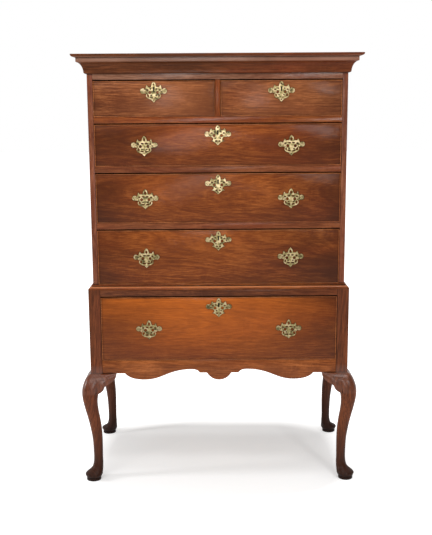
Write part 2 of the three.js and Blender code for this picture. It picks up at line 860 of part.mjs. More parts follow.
const shortWidth = caseInside - dividerWidth / 2;
const shortMiddle = (caseInside + dividerWidth / 2) / 2;
addDrawer("drawer_short_left", -shortMiddle, caseFront, shortFloor, shortWidth, shortOpening, 0);
addDrawer("drawer_short_right", shortMiddle, caseFront, shortFloor, shortWidth, shortOpening, 0);
addDrawer("drawer_upper", 0, caseFront, upperFloor, 2 * caseInside, upperOpening, handleInset);
addDrawer("drawer_middle", 0, caseFront, middleFloor, 2 * caseInside, middleOpening, handleInset);
addDrawer("drawer_lower", 0, caseFront, caseFloor, 2 * caseInside, lowerOpening, handleInset);
addDrawer("drawer_deep", 0, standFront, apronTop, 2 * postInside, deepOpening, deepHandleInset);

export default chest;
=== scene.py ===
import math

import bmesh
import bpy
from mathutils import Matrix, Vector


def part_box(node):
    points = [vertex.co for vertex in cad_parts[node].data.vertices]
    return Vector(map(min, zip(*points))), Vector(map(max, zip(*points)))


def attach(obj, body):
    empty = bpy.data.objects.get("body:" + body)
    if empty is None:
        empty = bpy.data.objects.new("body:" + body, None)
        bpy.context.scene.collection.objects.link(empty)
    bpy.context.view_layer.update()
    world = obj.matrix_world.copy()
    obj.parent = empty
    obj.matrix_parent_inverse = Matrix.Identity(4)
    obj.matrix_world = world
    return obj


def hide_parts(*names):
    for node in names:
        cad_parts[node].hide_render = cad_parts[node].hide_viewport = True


# An oak chest on stand. Metres, +Z up, the drawers face -Y. Small sizes are written in millimetres times mm.
mm = 0.001
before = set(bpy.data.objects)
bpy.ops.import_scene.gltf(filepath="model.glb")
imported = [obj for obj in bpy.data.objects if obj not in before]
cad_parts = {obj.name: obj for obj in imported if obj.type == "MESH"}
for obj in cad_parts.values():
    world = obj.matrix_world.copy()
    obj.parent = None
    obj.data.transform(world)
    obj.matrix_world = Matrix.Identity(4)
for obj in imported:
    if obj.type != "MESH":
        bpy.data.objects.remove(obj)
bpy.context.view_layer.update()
print("frame loaded")

# Faces and levels that the pieces share, read from the frame
carcase = {
    "standHalf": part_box("stand_side_right")[1].x,
    "standFront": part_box("stand_top_rail")[0].y,
    "postFoot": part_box("stand_side_right")[0].z,
    "apronTop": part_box("apron")[1].z,
    "standTop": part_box("stand_top_rail")[1].z,
    "caseHalf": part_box("upper_side_right")[1].x,
    "caseFront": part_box("upper_side_right")[0].y,
    "back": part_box("upper_back_panel")[1].y,
    "postSize": 46 * mm,
    "jointGap": 0.3 * mm,
}
# How edges are eased and how far the shading runs round a corner, in degrees
edgeLook = {
    "easeAngle": 35, "easeSegments": 2, "weld": 0.01 * mm, "flatAngle": 1,
    "smoothAngles": {"board": 32, "leg": 40, "bracket": 30, "moulding": 28, "front": 30, "bead": 40,
                     "casting": 35, "bail": 60},
}


def pick(*pieces):  # only these are selected, and the last one is active
    bpy.ops.object.select_all(action="DESELECT")
    for piece in pieces:
        piece.select_set(True)
    bpy.context.view_layer.objects.active = pieces[-1]


def settle(piece):  # puts the piece's place into its mesh, so that the object sits at the origin
    pick(piece)
    bpy.ops.object.transform_apply(location=True, rotation=True, scale=True)


def applyModifier(piece, kind, **settings):
    pick(piece)
    modifier = piece.modifiers.new(kind.title(), kind)
    for key, value in settings.items():
        setattr(modifier, key, value)
    bpy.ops.object.modifier_apply(modifier=modifier.name)


def smooth(piece, kind="board"):
    pick(piece)
    bpy.ops.object.shade_smooth_by_angle(angle=math.radians(edgeLook["smoothAngles"][kind]))


def ease(piece, width):  # takes the sharp edges off
    applyModifier(piece, "BEVEL", width=width, segments=edgeLook["easeSegments"], limit_method="ANGLE",
                  angle_limit=math.radians(edgeLook["easeAngle"]))
    smooth(piece)


def placed(primitive, **settings):  # a primitive that is added at its size and place
    bpy.ops.object.select_all(action="DESELECT")
    primitive(**settings)
    piece = bpy.context.object
    settle(piece)
    return piece


def addBox(name, low, high):
    middle = [(a + b) / 2 for a, b in zip(low, high)]
    size = [b - a for a, b in zip(low, high)]
    piece = placed(bpy.ops.mesh.primitive_cube_add, size=1, location=middle, scale=size)
    piece.name = name
    return piece


def addRod(x, y, z, radius, length, sides, turn):
    return placed(bpy.ops.mesh.primitive_cylinder_add, vertices=sides, radius=radius, depth=length,
                  rotation=turn, location=(x, y, z))


def placeRing(piece, ring):  # moves the selected points to their places in the ring
    mesh = bmesh.from_edit_mesh(piece.data)
    order = mesh.verts.layers.int["order"]
    for vert in mesh.verts:
        if vert.select:
            vert.co = ring[vert[order]]
    bmesh.update_edit_mesh(piece.data)


def addLoop(ring, fill):  # in edit mode: a circle whose points go to the given places
    bpy.ops.mesh.select_all(action="DESELECT")
    bpy.ops.mesh.primitive_circle_add(vertices=len(ring), radius=1 * mm, fill_type=fill)
    piece = bpy.context.object
    mesh = bmesh.from_edit_mesh(piece.data)
    order = mesh.verts.layers.int.get("order") or mesh.verts.layers.int.new("order")
    chosen = [vert for vert in mesh.verts if vert.select]
    chosen.sort(key=lambda vert: math.atan2(vert.co.y, vert.co.x))
    for index, vert in enumerate(chosen):
        vert[order] = index
    bmesh.update_edit_mesh(piece.data)
    placeRing(piece, ring)


def startMesh(name):  # an empty mesh in edit mode
    bpy.ops.object.select_all(action="DESELECT")
    bpy.ops.mesh.primitive_circle_add(vertices=3, radius=1 * mm)
    piece = bpy.context.object
    piece.name = name
    bpy.ops.object.mode_set(mode="EDIT")
    bpy.ops.mesh.select_all(action="SELECT")
    bpy.ops.mesh.delete(type="VERT")
    return piece


def faceOutwards():  # in edit mode, which this ends
    bpy.ops.mesh.select_all(action="SELECT")
    bpy.ops.mesh.normals_make_consistent(inside=False)
    bpy.ops.object.mode_set(mode="OBJECT")


def endMesh(piece):
    faceOutwards()
    order = piece.data.attributes.get("order")
    if order:
        piece.data.attributes.remove(order)
    settle(piece)


def carryRing(name, rings, fill):  # a ring that is extruded once for each further ring
    piece = startMesh(name)
    addLoop(rings[0], fill)
    for ring in rings[1:]:
        bpy.ops.mesh.extrude_region_move()
        placeRing(piece, ring)
    return piece


def loft(name, rings):  # closed by its two ends
    piece = carryRing(name, rings, "NGON")
    endMesh(piece)
    return piece


def sweepRound(name, rings):  # like a loft, but the last ring is joined to the first one
    piece = carryRing(name, rings, "NOTHING")
    ends = list(rings[0]) + list(rings[-1])
    mesh = bmesh.from_edit_mesh(piece.data)
    for vert in mesh.verts:
        vert.select_set(min((vert.co - Vector(end)).length for end in ends) < edgeLook["weld"])
    mesh.select_flush_mode()
    bmesh.update_edit_mesh(piece.data)
    bpy.ops.mesh.bridge_edge_loops()
    endMesh(piece)
    return piece


def turned(name, x, z, profile, sides):  # lathe work along Y: the profile gives each radius and its y
    turns = [k / sides * math.tau for k in range(sides)]
    return loft(name, [[Vector((x + radius * math.cos(turn), y, z + radius * math.sin(turn)))
                        for turn in turns] for radius, y in profile])


def plank(name, outline, ends):  # an outline of y and z, carried from the one x to the other
    return loft(name, [[Vector((x, y, z)) for y, z in outline] for x in ends])


def joined(name, pieces):
    pick(*pieces)
    if len(pieces) > 1:
        bpy.ops.object.join()
    whole = bpy.context.object
    whole.name = name
    return whole


def copyOf(piece, name, offset=(0, 0, 0)):
    pick(piece)
    bpy.ops.object.duplicate(linked=False)
    twin = bpy.context.object
    twin.name = name
    twin.location = offset
    settle(twin)
    return twin


def cutAway(piece, tool):
    applyModifier(piece, "BOOLEAN", object=tool, operation="DIFFERENCE", solver="EXACT")
    bpy.data.objects.remove(tool)


def flip(piece, axes):  # mirrors the mesh through the origin along the axes that are -1
    pick(piece)
    piece.scale = axes
    settle(piece)
    bpy.ops.object.mode_set(mode="EDIT")
    faceOutwards()


def dress(piece, material, body, slotName, *nodes):
    piece.data.materials.clear()
    piece.data.materials.append(material)
    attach(piece, body)
    if nodes:
        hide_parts(*nodes)
    return piece


def between(a, b, share):
    return a + (b - a) * share


def smoothRows(rows, steps):  # rows of numbers, with a smooth curve through them
    def row(index):
        return rows[max(0, min(len(rows) - 1, index))]

    result = []
    for index in range(len(rows) - 1):
        for step in range(steps):
            t = step / steps
            numbers = []
            for p, q, r, s in zip(row(index - 1), row(index), row(index + 1), row(index + 2)):
                numbers.append(0.5 * (2 * q + (r - p) * t + (2 * p - 5 * q + 4 * r - s) * t ** 2
                                      + (3 * q - p - 3 * r + s) * t ** 3))
            result.append(numbers)
    return result + [list(rows[-1])]


# Materials. Each oak piece is cut from its own log: heart is a point on the log's middle, grain the way it
# lies and tilt how far it leans, so that the year rings run through the board as they would in a sawn one.
def feed(tree, node, inputs):  # a value is set, and a socket is linked
    for key, value in inputs.items():
        if isinstance(value, bpy.types.NodeSocket):
            tree.links.new(value, node.inputs[key])
        else:
            node.inputs[key].default_value = value


def maker(material):
    material.use_nodes = True
    tree = material.node_tree

    def add(kind, inputs=None, **settings):
        node = tree.nodes.new(kind)
        for key, value in settings.items():
            setattr(node, key, value)
        feed(tree, node, inputs or {})
        return node

    return add


def startMaterial(name):
    material = bpy.data.materials.new(name)
    add = maker(material)
    shader = material.node_tree.nodes["Principled BSDF"]
    place = add("ShaderNodeTexCoord").outputs["Object"]
    return material, add, shader, place


def rgb(red, green, blue):  # a colour as it is seen, 0 to 255, turned into linear light
    return tuple((c / 255 / 12.92) if c < 10.3 else ((c / 255 + 0.055) / 1.055) ** 2.4
                 for c in (red, green, blue)) + (1,)


def grey(value):
    return (value, value, value, 1)


def tones(light, middle, dark):  # the colours of a wood's grain
    return {"light": rgb(*light), "middle": rgb(*middle), "dark": rgb(*dark)}


def maths(add, operation, a, b=0.0, clamp=False):
    return add("ShaderNodeMath", {0: a, 1: b}, operation=operation, use_clamp=clamp).outputs[0]


def times(add, a, b, clamp=False):
    return maths(add, "MULTIPLY", a, b, clamp)


def plus(add, a, b):
    return maths(add, "ADD", a, b)


def weighed(add, patterns, shares):  # the patterns added up, each by its share
    total = 0.0
    for key, share in shares.items():
        total = plus(add, total, times(add, patterns[key], share))
    return total


def mix(add, factor, a, b):
    return add("ShaderNodeMix", {0: factor, 6: a, 7: b}, data_type="RGBA").outputs[2]


def ramp(add, factor, *stops):  # stops are pairs of place and value, or of place and colour
    node = add("ShaderNodeValToRGB", {"Fac": factor})
    elements = node.color_ramp.elements
    while len(elements) < len(stops):
        elements.new(0.5)
    for element, (place, colour) in zip(elements, stops):
        element.position = place
        element.color = colour if isinstance(colour, tuple) else grey(colour)
    return node.outputs["Color"]


def mapRange(add, value, reach, results):
    return add("ShaderNodeMapRange", {"Value": value, "From Min": reach[0], "From Max": reach[1],
                                      "To Min": results[0], "To Max": results[1]}).outputs[0]


def axesOf(add, place):  # the x, y and z of a place
    return add("ShaderNodeSeparateXYZ", {0: place}).outputs


def openness(add, reach):  # 0 in a deep hollow, 1 in the open
    return add("ShaderNodeAmbientOcclusion", {"Distance": reach}, samples=6).outputs["AO"]


def noise(add, vector, scale=(1, 1, 1), detail=3.0, roughness=0.55, distortion=0.0):
    place = add("ShaderNodeMapping", {"Vector": vector, "Scale": scale}).outputs[0]
    node = add("ShaderNodeTexNoise", {"Vector": place, "Scale": 1.0, "Detail": detail,
                                      "Roughness": roughness, "Distortion": distortion})
    return node.outputs["Fac"]


def bumped(tree, add, shader, height, strength, distance, *sockets):
    bump = add("ShaderNodeBump", {"Height": height, "Strength": strength, "Distance": distance})
    feed(tree, shader, {socket: bump.outputs[0] for socket in sockets})


def fadeFrom(add, part, edge, reach, power):  # 1 at the edge, 0 at that reach from it
    away = maths(add, "ABSOLUTE", maths(add, "SUBTRACT", part, edge))
    near = maths(add, "SUBTRACT", 1.0, maths(add, "DIVIDE", away, reach), clamp=True)
    return maths(add, "POWER", near, power)


oakLook = {
    **tones((151, 84, 38), (125, 64, 27), (93, 44, 20)),
    "smoke": rgb(52, 27, 17),  # old polish that has gone dark
    "red": rgb(118, 50, 28),
    # near-black, for dirt and for painted shade in hollows, under the brasses and along the gaps
    "grimeAndShade": rgb(14, 8, 6),
    "figure": (7, 170),  # how often the streaks change along the grain and across the rings, per metre
    "contrast": (0.425, 0.5, 0.575),  # where dark, middle and light lie in the grain's tone
    "ringWarp": 36 * mm,
    "toneShares": {"bands": 0.33, "broad": 0.13, "years": 0.15, "fibres": 0.39},
    "reliefShares": {"fibres": 0.16, "waves": 0.6, "rays": 0.26, "pores": 0.26},
    "roughness": 0.34, "cloudRoughness": 0.24, "rayShine": 0.1,
    "specular": 0.03,
    "coat": 0.16,
    "coatRoughness": 0.16,
    "rays": 0.24,
    "patina": 0.8,
    "dirtAndShade": 0.95, "dirtAndShadeReach": 7 * mm,
    "gapEdge": 1.3 * mm, "gapReach": 18 * mm,
    "bump": 0.3, "bumpDistance": 1.5 * mm,
}
# Patterns in the log: changes per metre along the grain and across it, detail, roughness and distortion
logPatterns = {
    "warp": ((2.5, 9, 9), 2.0),
    "fibres": ((18, 420, 420), 3.0, 0.65),
    "dashes": ((13, 240, 240), 1.5),
    "pores": ((70, 1300, 1300), 1.0),
    "rays": ((95, 60, 30), 2.5, 0.5, 0.9),
    "rayArea": ((6, 9, 9), 2.0),
    "clouds": ((3.5, 9, 9), 3.5, 0.6, 0.6),
    "tints": ((2.2, 7, 7), 2.0),
    "waves": ((16, 60, 60), 2.0),
}
ringPatterns = {"broad": ((1.4, 26, 1), 2.0), "years": ((5, 330, 1), 2.0)}
oakRamps = {  # where each pattern starts and ends, and how much it does there
    "tints": ((0.45, 0), (0.66, 0.4)),
    "rays": ((0.54, 0), (0.62, 1)),
    "rayArea": ((0.46, 0), (0.6, 1)),
    "pores": ((0.3, 0.6), (0.42, 0)),
    "dashes": ((0.32, 0.6), (0.43, 0)),
    "patina": ((0.36, 0.6), (0.56, 0)),
    "grimeAndShade": ((0.5, 1), (0.94, 0)),
    "wax": ((0.38, 0.6), (0.6, 1)),
    "shade": ((0.36, 1), (0.64, 0.55)),
    "glow": ((0.3, 0.5), (0.62, 1)),
}
glowLook = {"width": 0.5, "downPower": 0.8, "sidePower": 0.7, "grain": 0.45}


def wornShade(add, place, clouds, worn):  # how much the ends and the foot of a drawer have darkened
    x, _, z = axesOf(add, place)
    low, high = worn["low"], worn["high"]
    ends = [times(add, fadeFrom(add, x, edge, reach, 1.0), share)
            for edge, (reach, share) in ((low.x, worn["left"]), (high.x, worn["right"]))]
    foot = times(add, fadeFrom(add, z, low.z, high.z - low.z, 1.0), worn["foot"])
    shade = plus(add, maths(add, "MAXIMUM", *ends), foot)
    return times(add, shade, ramp(add, clouds, *oakRamps["shade"]), clamp=True)


def wornGlow(add, place, clouds, worn):  # how much the polish has gone thin, so that the wood glows orange
    x, _, z = axesOf(add, place)
    low, high = worn["low"], worn["high"]
    width = high.x - low.x
    reach = width * worn.get("glowWidth", glowLook["width"])
    top = fadeFrom(add, z, high.z, (high.z - low.z) * worn["glowReach"], glowLook["downPower"])
    middle = fadeFrom(add, x, low.x + width * worn["glowMiddle"], reach, glowLook["sidePower"])
    share = times(add, times(add, top, ramp(add, clouds, *oakRamps["glow"])), middle)
    return times(add, share, worn["glowShare"], clamp=True)


def oak(name, heart, grain="X", tilt=(0, 0), worn=None, **changes):
    look = {**oakLook, **changes}
    material, add, shader, place = startMaterial(name)
    tree = material.node_tree
    turn = {"X": (0, tilt[0], tilt[1]), "Y": (tilt[0], 0, math.pi / 2 + tilt[1]),
            "Z": (tilt[0], -math.pi / 2 + tilt[1], 0)}[grain]
    log = add("ShaderNodeMapping", {"Vector": place, "Location": heart, "Rotation": turn},
              vector_type="TEXTURE").outputs[0]
    found = {key: noise(add, log, *pattern) for key, pattern in logPatterns.items()}
    along, deep, across = axesOf(add, log)
    flat = add("ShaderNodeCombineXYZ", {"Y": deep, "Z": across}).outputs[0]
    radius = add("ShaderNodeVectorMath", {0: flat}, operation="LENGTH").outputs["Value"]
    radius = plus(add, radius, times(add, found["warp"], look["ringWarp"]))
    ringed = add("ShaderNodeCombineXYZ", {"X": along, "Y": radius}).outputs[0]
    found["bands"] = noise(add, ringed, (*look["figure"], 1), detail=3.0, roughness=0.6)
    for key, pattern in ringPatterns.items():
        found[key] = noise(add, ringed, *pattern)

    def spread(key, pattern=None):
        return ramp(add, found[pattern or key], *oakRamps[key])

    tone = weighed(add, found, look["toneShares"])
    dark, middle, light = look["contrast"]
    colour = ramp(add, tone, (dark, look["dark"]), (middle, look["middle"]), (light, look["light"]))
    colour = mix(add, spread("tints"), colour, look["red"])
    rayMask = times(add, spread("rays"), spread("rayArea"))
    colour = mix(add, times(add, rayMask, look["rays"]), colour, look["light"])
    colour = mix(add, spread("pores"), colour, look["smoke"])
    colour = mix(add, spread("dashes"), colour, look["dark"])
    colour = mix(add, times(add, spread("patina", "clouds"), look["patina"]), colour, look["dark"])
    if worn:
        if "glow" in worn:
            colour = mix(add, wornGlow(add, place, found["clouds"], worn), colour, worn["glow"])
            colour = mix(add, ramp(add, tone, (dark, glowLook["grain"]), (light, 0)), colour, look["dark"])
        colour = mix(add, wornShade(add, place, found["clouds"], worn), colour, look["smoke"])
    _, y, z = axesOf(add, place)
    if "waxAndHighlightBand" in look:  # a level at which the wax lies thicker, with a paler colour painted in there as a highlight
        centre, reach, share, shine = look["waxAndHighlightBand"]
        highlightBand = times(add, fadeFrom(add, z, centre, reach, 0.5), spread("wax", "clouds"))
        colour = mix(add, times(add, highlightBand, share), colour, look["wax"])
        feed(tree, shader, {"Coat Weight": plus(add, times(add, highlightBand, shine), look["coat"])})
    if "darkFoot" in look:  # the leg is darker towards the floor
        reach, share = look["darkFoot"]
        colour = mix(add, times(add, fadeFrom(add, z, 0.0, reach, 1.0), share), colour, look["smoke"])
    # dirt and painted shade: darker where ambient occlusion finds a hollow, as under the brasses and at the
    # gaps
    grimeAndShade = times(add, ramp(add, openness(add, look["dirtAndShadeReach"]), *oakRamps["grimeAndShade"]), look["dirtAndShade"])
    colour = mix(add, grimeAndShade, colour, look["grimeAndShade"])
    if "face" in look:  # behind the face, the edges of the gap are painted black: painted shade in the gap, with some wax and dust
        behind = maths(add, "GREATER_THAN", y, look["face"] + look["gapEdge"])
        near = fadeFrom(add, y, look["face"], look["gapReach"], 0.5)
        colour = mix(add, times(add, behind, near), colour, look["grimeAndShade"])
    shine = plus(add, times(add, found["clouds"], look["cloudRoughness"]), look["roughness"])
    shine = maths(add, "SUBTRACT", shine, times(add, rayMask, look["rayShine"]))
    feed(tree, shader, {"Base Color": colour, "Roughness": shine, "Specular IOR Level": look["specular"],
                        "Coat Roughness": look["coatRoughness"]})
    shader.inputs["Coat Weight"].default_value = look["coat"]
    bumped(tree, add, shader, weighed(add, found, look["reliefShares"]), look["bump"], look["bumpDistance"],
           "Normal", "Coat Normal")
    return material


# The camera stands where the photograph was taken from, level with the foot of the short drawers, and looks
# down a little.
cameraLook = {
    "place": (-0.0115, -3.513, 1.4402),
    "yaw": 0.0005,
    "pitch": 0.1768,
    "roll": -0.0061,
    "focalPixels": 859.84,
    "pictureHeight": 535,
    "sensor": 36,
}


def addCamera():
    yaw, pitch, roll = cameraLook["yaw"], cameraLook["pitch"], cameraLook["roll"]
    ahead = Vector((math.sin(yaw) * math.cos(pitch), math.cos(yaw) * math.cos(pitch), -math.sin(pitch)))
    right = Vector((math.cos(yaw), -math.sin(yaw), 0))
    up = right.cross(ahead)
    leanRight = math.cos(roll) * right + math.sin(roll) * up
    leanUp = -math.sin(roll) * right + math.cos(roll) * up
    bpy.ops.object.camera_add(location=cameraLook["place"])
    camera = bpy.context.object
    camera.rotation_euler = Matrix((leanRight, leanUp, -ahead)).transposed().to_euler()
    camera.data.sensor_width = cameraLook["sensor"]
    camera.data.lens = cameraLook["focalPixels"] * cameraLook["sensor"] / cameraLook["pictureHeight"]
    camera.data.clip_end = 200
    bpy.context.scene.camera = camera


studioLook = {
    "floorSize": 60,
    "floorColour": grey(0.8), "floorRoughness": 0.9,
    "floorGlow": (0.19, 1.0),  # under the object and beyond its footprint
    "footprint": (0.55, 0.43), "footprintMiddle": (0, -0.045, 0), "footprintPower": 4.0,
    "glowReach": (0.86, 1.2),  # in shares of the footprint
    "skyLight": 0.5,
    "room": 0.05,  # how bright the room behind the camera is in the polish
    "sweep": (-1.6, -0.5),  # the white paper ends between these two places in front of the object
    "horizon": (-0.3, 0.2),
    "lamps": {
        "frontLamp": {"place": (-1.6, -3.4, 3.6), "size": (2.6, 2.6), "power": 54, "aim": (0, 0, 0.9)},
        "windowLamp": {"place": (-0.2, -3.8, 1.46), "size": (0.22, 1.2), "power": 20, "aim": (0, 0, 1.4)},
        "rightLamp": {"place": (1.72, -3.6, 2.15), "size": (0.26, 0.4), "power": 17, "aim": (0, 0, 1.4)},
        "sideLamp": {"place": (0.95, -1.75, 3.1), "size": (0.9, 0.5), "power": 18, "aim": (0.45, -0.3, 0.4)},
        "leftLamp": {"place": (-3.0, -0.6, 1.3), "size": (0.4, 0.8), "power": 30, "aim": (0, 0, 0.6)},
        "topLamp": {"place": (0, -0.2, 4.4), "size": (2.2, 2.2), "power": 60, "aim": (0, 0, 0)},
    },
}


def addFloor():
    look = studioLook
    bpy.ops.object.select_all(action="DESELECT")
    bpy.ops.mesh.primitive_plane_add(size=look["floorSize"])
    floor = bpy.context.object
    floor.name = "studioFloor"
    material, add, shader, place = startMaterial("paleFloor")
    tree = material.node_tree
    feed(tree, shader, {"Base Color": look["floorColour"], "Roughness": look["floorRoughness"],
                        "Specular IOR Level": 0.0})
    path = add("ShaderNodeLightPath").outputs
    paper = mapRange(add, axesOf(add, place)[1], look["sweep"], (look["room"], 1.0))
    glossy = times(add, path["Is Glossy Ray"], paper)
    away = add("ShaderNodeMapping", {"Vector": place, "Location": look["footprintMiddle"],
                                     "Scale": (*look["footprint"], 1)}, vector_type="TEXTURE").outputs[0]
    power = look["footprintPower"]
    powers = [maths(add, "POWER", maths(add, "ABSOLUTE", part), power) for part in axesOf(add, away)[:2]]
    away = maths(add, "POWER", plus(add, *powers), 1 / power)
    glow = mapRange(add, away, look["glowReach"], look["floorGlow"])
    glow = times(add, maths(add, "MAXIMUM", path["Is Camera Ray"], glossy), glow)
    light = add("ShaderNodeEmission", {"Color": grey(1), "Strength": glow}).outputs[0]
    both = add("ShaderNodeAddShader", {0: shader.outputs[0], 1: light}).outputs[0]
    feed(tree, tree.nodes["Material Output"], {"Surface": both})
    floor.data.materials.append(material)


def addLamps():
    for name, lamp in studioLook["lamps"].items():
        aim = Vector(lamp["aim"]) - Vector(lamp["place"])
        bpy.ops.object.light_add(type="AREA", location=lamp["place"],
                                 rotation=aim.to_track_quat("-Z", "Y").to_euler())
        light = bpy.context.object
        light.name = name
        light.data.shape = "RECTANGLE"
        light.data.energy = lamp["power"]
        light.data.size, light.data.size_y = lamp["size"]


def addWorld():
    look = studioLook
    world = bpy.data.worlds.new("paleStudio")
    bpy.context.scene.world = world
    add = maker(world)
    path = add("ShaderNodeLightPath").outputs
    y = axesOf(add, add("ShaderNodeTexCoord").outputs["Generated"])[1]
    backdrop = mapRange(add, y, look["horizon"], (look["room"], 1.0))
    glossy = times(add, maths(add, "MAXIMUM", path["Is Glossy Ray"], path["Is Transmission Ray"]), backdrop)
    diffuse = times(add, path["Is Diffuse Ray"], look["skyLight"])
    strength = maths(add, "MAXIMUM", maths(add, "MAXIMUM", path["Is Camera Ray"], glossy), diffuse)
    feed(world.node_tree, world.node_tree.nodes["Background"], {"Color": grey(1), "Strength": strength})
    bpy.context.scene.view_settings.view_transform = "Standard"


addCamera()
addFloor()
addLamps()
addWorld()
print("camera and studio ready")


# Boards whose shape stays as it is in the frame: the edges are eased and the wood is put on.
sideWood = tones((142, 88, 62), (119, 70, 49), (88, 47, 32))
caseFace = {"face": carcase["caseFront"]}
railWood = {**tones((140, 82, 50), (117, 65, 38), (86, 45, 27)), **caseFace}
backWood = [  # dry boards that have gone brown, each a little different
    tones((132, 96, 62), (106, 74, 47), (76, 51, 32)),
    tones((146, 112, 76), (120, 88, 58), (88, 62, 40)),
    tones((122, 90, 60), (98, 70, 46), (70, 48, 32)),
]
carried = {
    "easing": 1.0 * mm,
    "boards": {  # node: grain, place of the log's heart, material slot, changes to the look
        "stand_top_rail": ("X", (0.31, -0.21, 0.70), "oak_case",
                           {**tones((118, 68, 40), (96, 52, 31), (68, 36, 22)),
                            "face": carcase["standFront"]}),
        "stand_back": ("X", (1.7, 0.33, 0.52), "oak_case", {**backWood[0], "coat": 0.0, "roughness": 0.63}),
        "upper_side_left": ("Z", (-0.55, 0.08, 0.55), "oak_case", sideWood),
        "upper_side_right": ("Z", (0.55, -0.05, 0.35), "oak_case", sideWood),
        "upper_bottom_board": ("X", (0.1, -0.1, 0.70), "oak_case", {}),
        "frieze_rail": ("X", (0.45, -0.16, 1.60), "oak_case",
                        {**tones((150, 106, 82), (128, 86, 63), (98, 60, 42)), "coat": 0.4, **caseFace}),
        "drawer_rail_lower": ("X", (1.2, -0.19, 1.04), "oak_case", railWood),
        "drawer_rail_middle": ("X", (2.6, -0.18, 1.20), "oak_case", railWood),
        "drawer_rail_upper": ("X", (3.4, -0.20, 1.45), "oak_case", {"coat": 0.35, **caseFace}),
        "short_drawer_divider": ("Z", (0.03, -0.20, 0.2), "oak_case", caseFace),
        "upper_top_board": ("X", (4.1, 0.10, 1.58), "oak_case", {"coat": 0.05, "roughness": 0.48}),
        "stand_runner_frame": ("Y", (0.2, 0.1, 0.42), "oak_lining", {}),
    },
}
rawOak = {**tones((186, 148, 100), (160, 120, 76), (122, 88, 54)), "smoke": rgb(92, 66, 42),
          "red": rgb(150, 104, 64), "coat": 0.0, "roughness": 0.68, "specular": 0.3, "patina": 0.7,
          "bump": 0.4}


def addBoards():
    for node, (grain, heart, slotName, changes) in carried["boards"].items():
        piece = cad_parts[node]
        look = {**rawOak, **changes} if slotName == "oak_lining" else changes
        piece.data.materials.clear()
        piece.data.materials.append(oak(node + "Oak", heart, grain, tilt=(0.02, 0.03), **look))
        weld = piece.modifiers.new("Weld", "WELD")
        weld.merge_threshold = edgeLook["weld"]
        flat = piece.modifiers.new("Flat", "DECIMATE")
        flat.decimate_type = "DISSOLVE"
        flat.angle_limit = math.radians(edgeLook["flatAngle"])
        bevel = piece.modifiers.new("Ease", "BEVEL")
        bevel.width = carried["easing"]
        bevel.segments = edgeLook["easeSegments"]
        bevel.limit_method = "ANGLE"
        bevel.angle_limit = math.radians(edgeLook["easeAngle"])
        bevel.harden_normals = True
        smooth(piece)


addBoards()
print("carried boards dressed")


ironLook = {
    "cloud": ((60, 60, 60), 5.0),
    "colours": ((0.36, rgb(58, 40, 30)), (0.5, rgb(74, 70, 66)), (0.66, rgb(104, 100, 94))),
    # near-black painted shade where the iron lies deep in a hollow, as inside the lock behind the keyhole
    "hollowShade": rgb(8, 6, 5),
    "openReach": 30 * mm, "opened": ((0.25, 0), (0.6, 1)),
    "roughness": ((0.3, 0.75), (0.7, 0.45)),
    "metallic": 0.7, "specular": 0.15,
}


def ironMaterial():
    look = ironLook
    material, add, shader, place = startMaterial("lockIron")
    cloud = noise(add, place, *look["cloud"])
    # painted shade: the iron turns black and loses its metal where ambient occlusion finds a deep hollow
    opened = ramp(add, openness(add, look["openReach"]), *look["opened"])
    feed(material.node_tree, shader, {
        "Base Color": mix(add, opened, look["hollowShade"], ramp(add, cloud, *look["colours"])),
        "Roughness": ramp(add, cloud, *look["roughness"]),
        "Metallic": times(add, opened, look["metallic"]),
        "Specular IOR Level": look["specular"],
    })
    return material


# The back: upright boards that lap over each other, nailed into the rebates of the case.
backLook = {
    "count": 5, "gap": 2 * mm, "lap": 8 * mm, "lapGap": 0.3 * mm, "easing": 0.8 * mm,
    "nailRise": 0.6 * mm, "nailInset": 22 * mm, "nailRows": (0.012, 0.35, 0.68, 0.988), "nailSides": 8,
    "nail": [(1.44, -3), (3.24, -0.2), (3.6, 0.1), (2.16, 0.55)],  # radius and how far out, in mm
}


def backPlan(index, start, end, low, high):  # one board from above, with its tongue and its lap
    look = backLook
    left, right = start + look["gap"] / 2, end - look["gap"] / 2
    inside, outside, middle = low.y, high.y - look["nailRise"], (low.y + high.y) / 2
    lapIn, lapOut = middle - look["lapGap"] / 2, middle + look["lapGap"] / 2
    first, last = index == 0, index == look["count"] - 1
    plan = [(right, outside), (left, outside)]
    if not first:
        plan += [(left, lapOut), (left + look["lap"], lapOut)]
    plan.append((left if first else left + look["lap"], inside))
    plan.append((right if last else right + look["lap"], inside))
    if not last:
        plan += [(right + look["lap"], lapIn), (right, lapIn)]
    return plan


def addBack():
    back = backLook
    low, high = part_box("upper_back_panel")
    pitch = (high.x - low.x) / back["count"]
    profile = [(radius * mm, high.y - back["nailRise"] + out * mm) for radius, out in back["nail"]]
    nails = []
    for index in range(back["count"]):
        start, end = low.x + index * pitch, low.x + (index + 1) * pitch
        plan = backPlan(index, start, end, low, high)
        board = loft("upper_back_board_%d" % (index + 1),
                     [[Vector((x, y, z)) for x, y in plan] for z in (low.z, high.z)])
        ease(board, back["easing"])
        # Each board comes from another place in the log, so that no two look alike
        heart = (start + 0.31 * pitch * (index % 3), 0.36 - 0.05 * (index % 2), 0.7 * index)
        nodes = ["upper_back_panel"] if index == 0 else []
        look = {**rawOak, **backWood[(2 * index) % 3]}
        wood = oak(board.name + "Oak", heart, "Z", tilt=(0.01, 0.02), **look)
        dress(board, wood, "root", "oak_lining", *nodes)
        for x in (start + back["nailInset"], end - back["nailInset"]):
            for row in back["nailRows"]:
                nails.append(turned("backNail", x, between(low.z, high.z, row), profile, back["nailSides"]))
    dress(joined("upper_back_nails", nails), ironMaterial(), "root", "brass")


addBack()
print("back boards made")


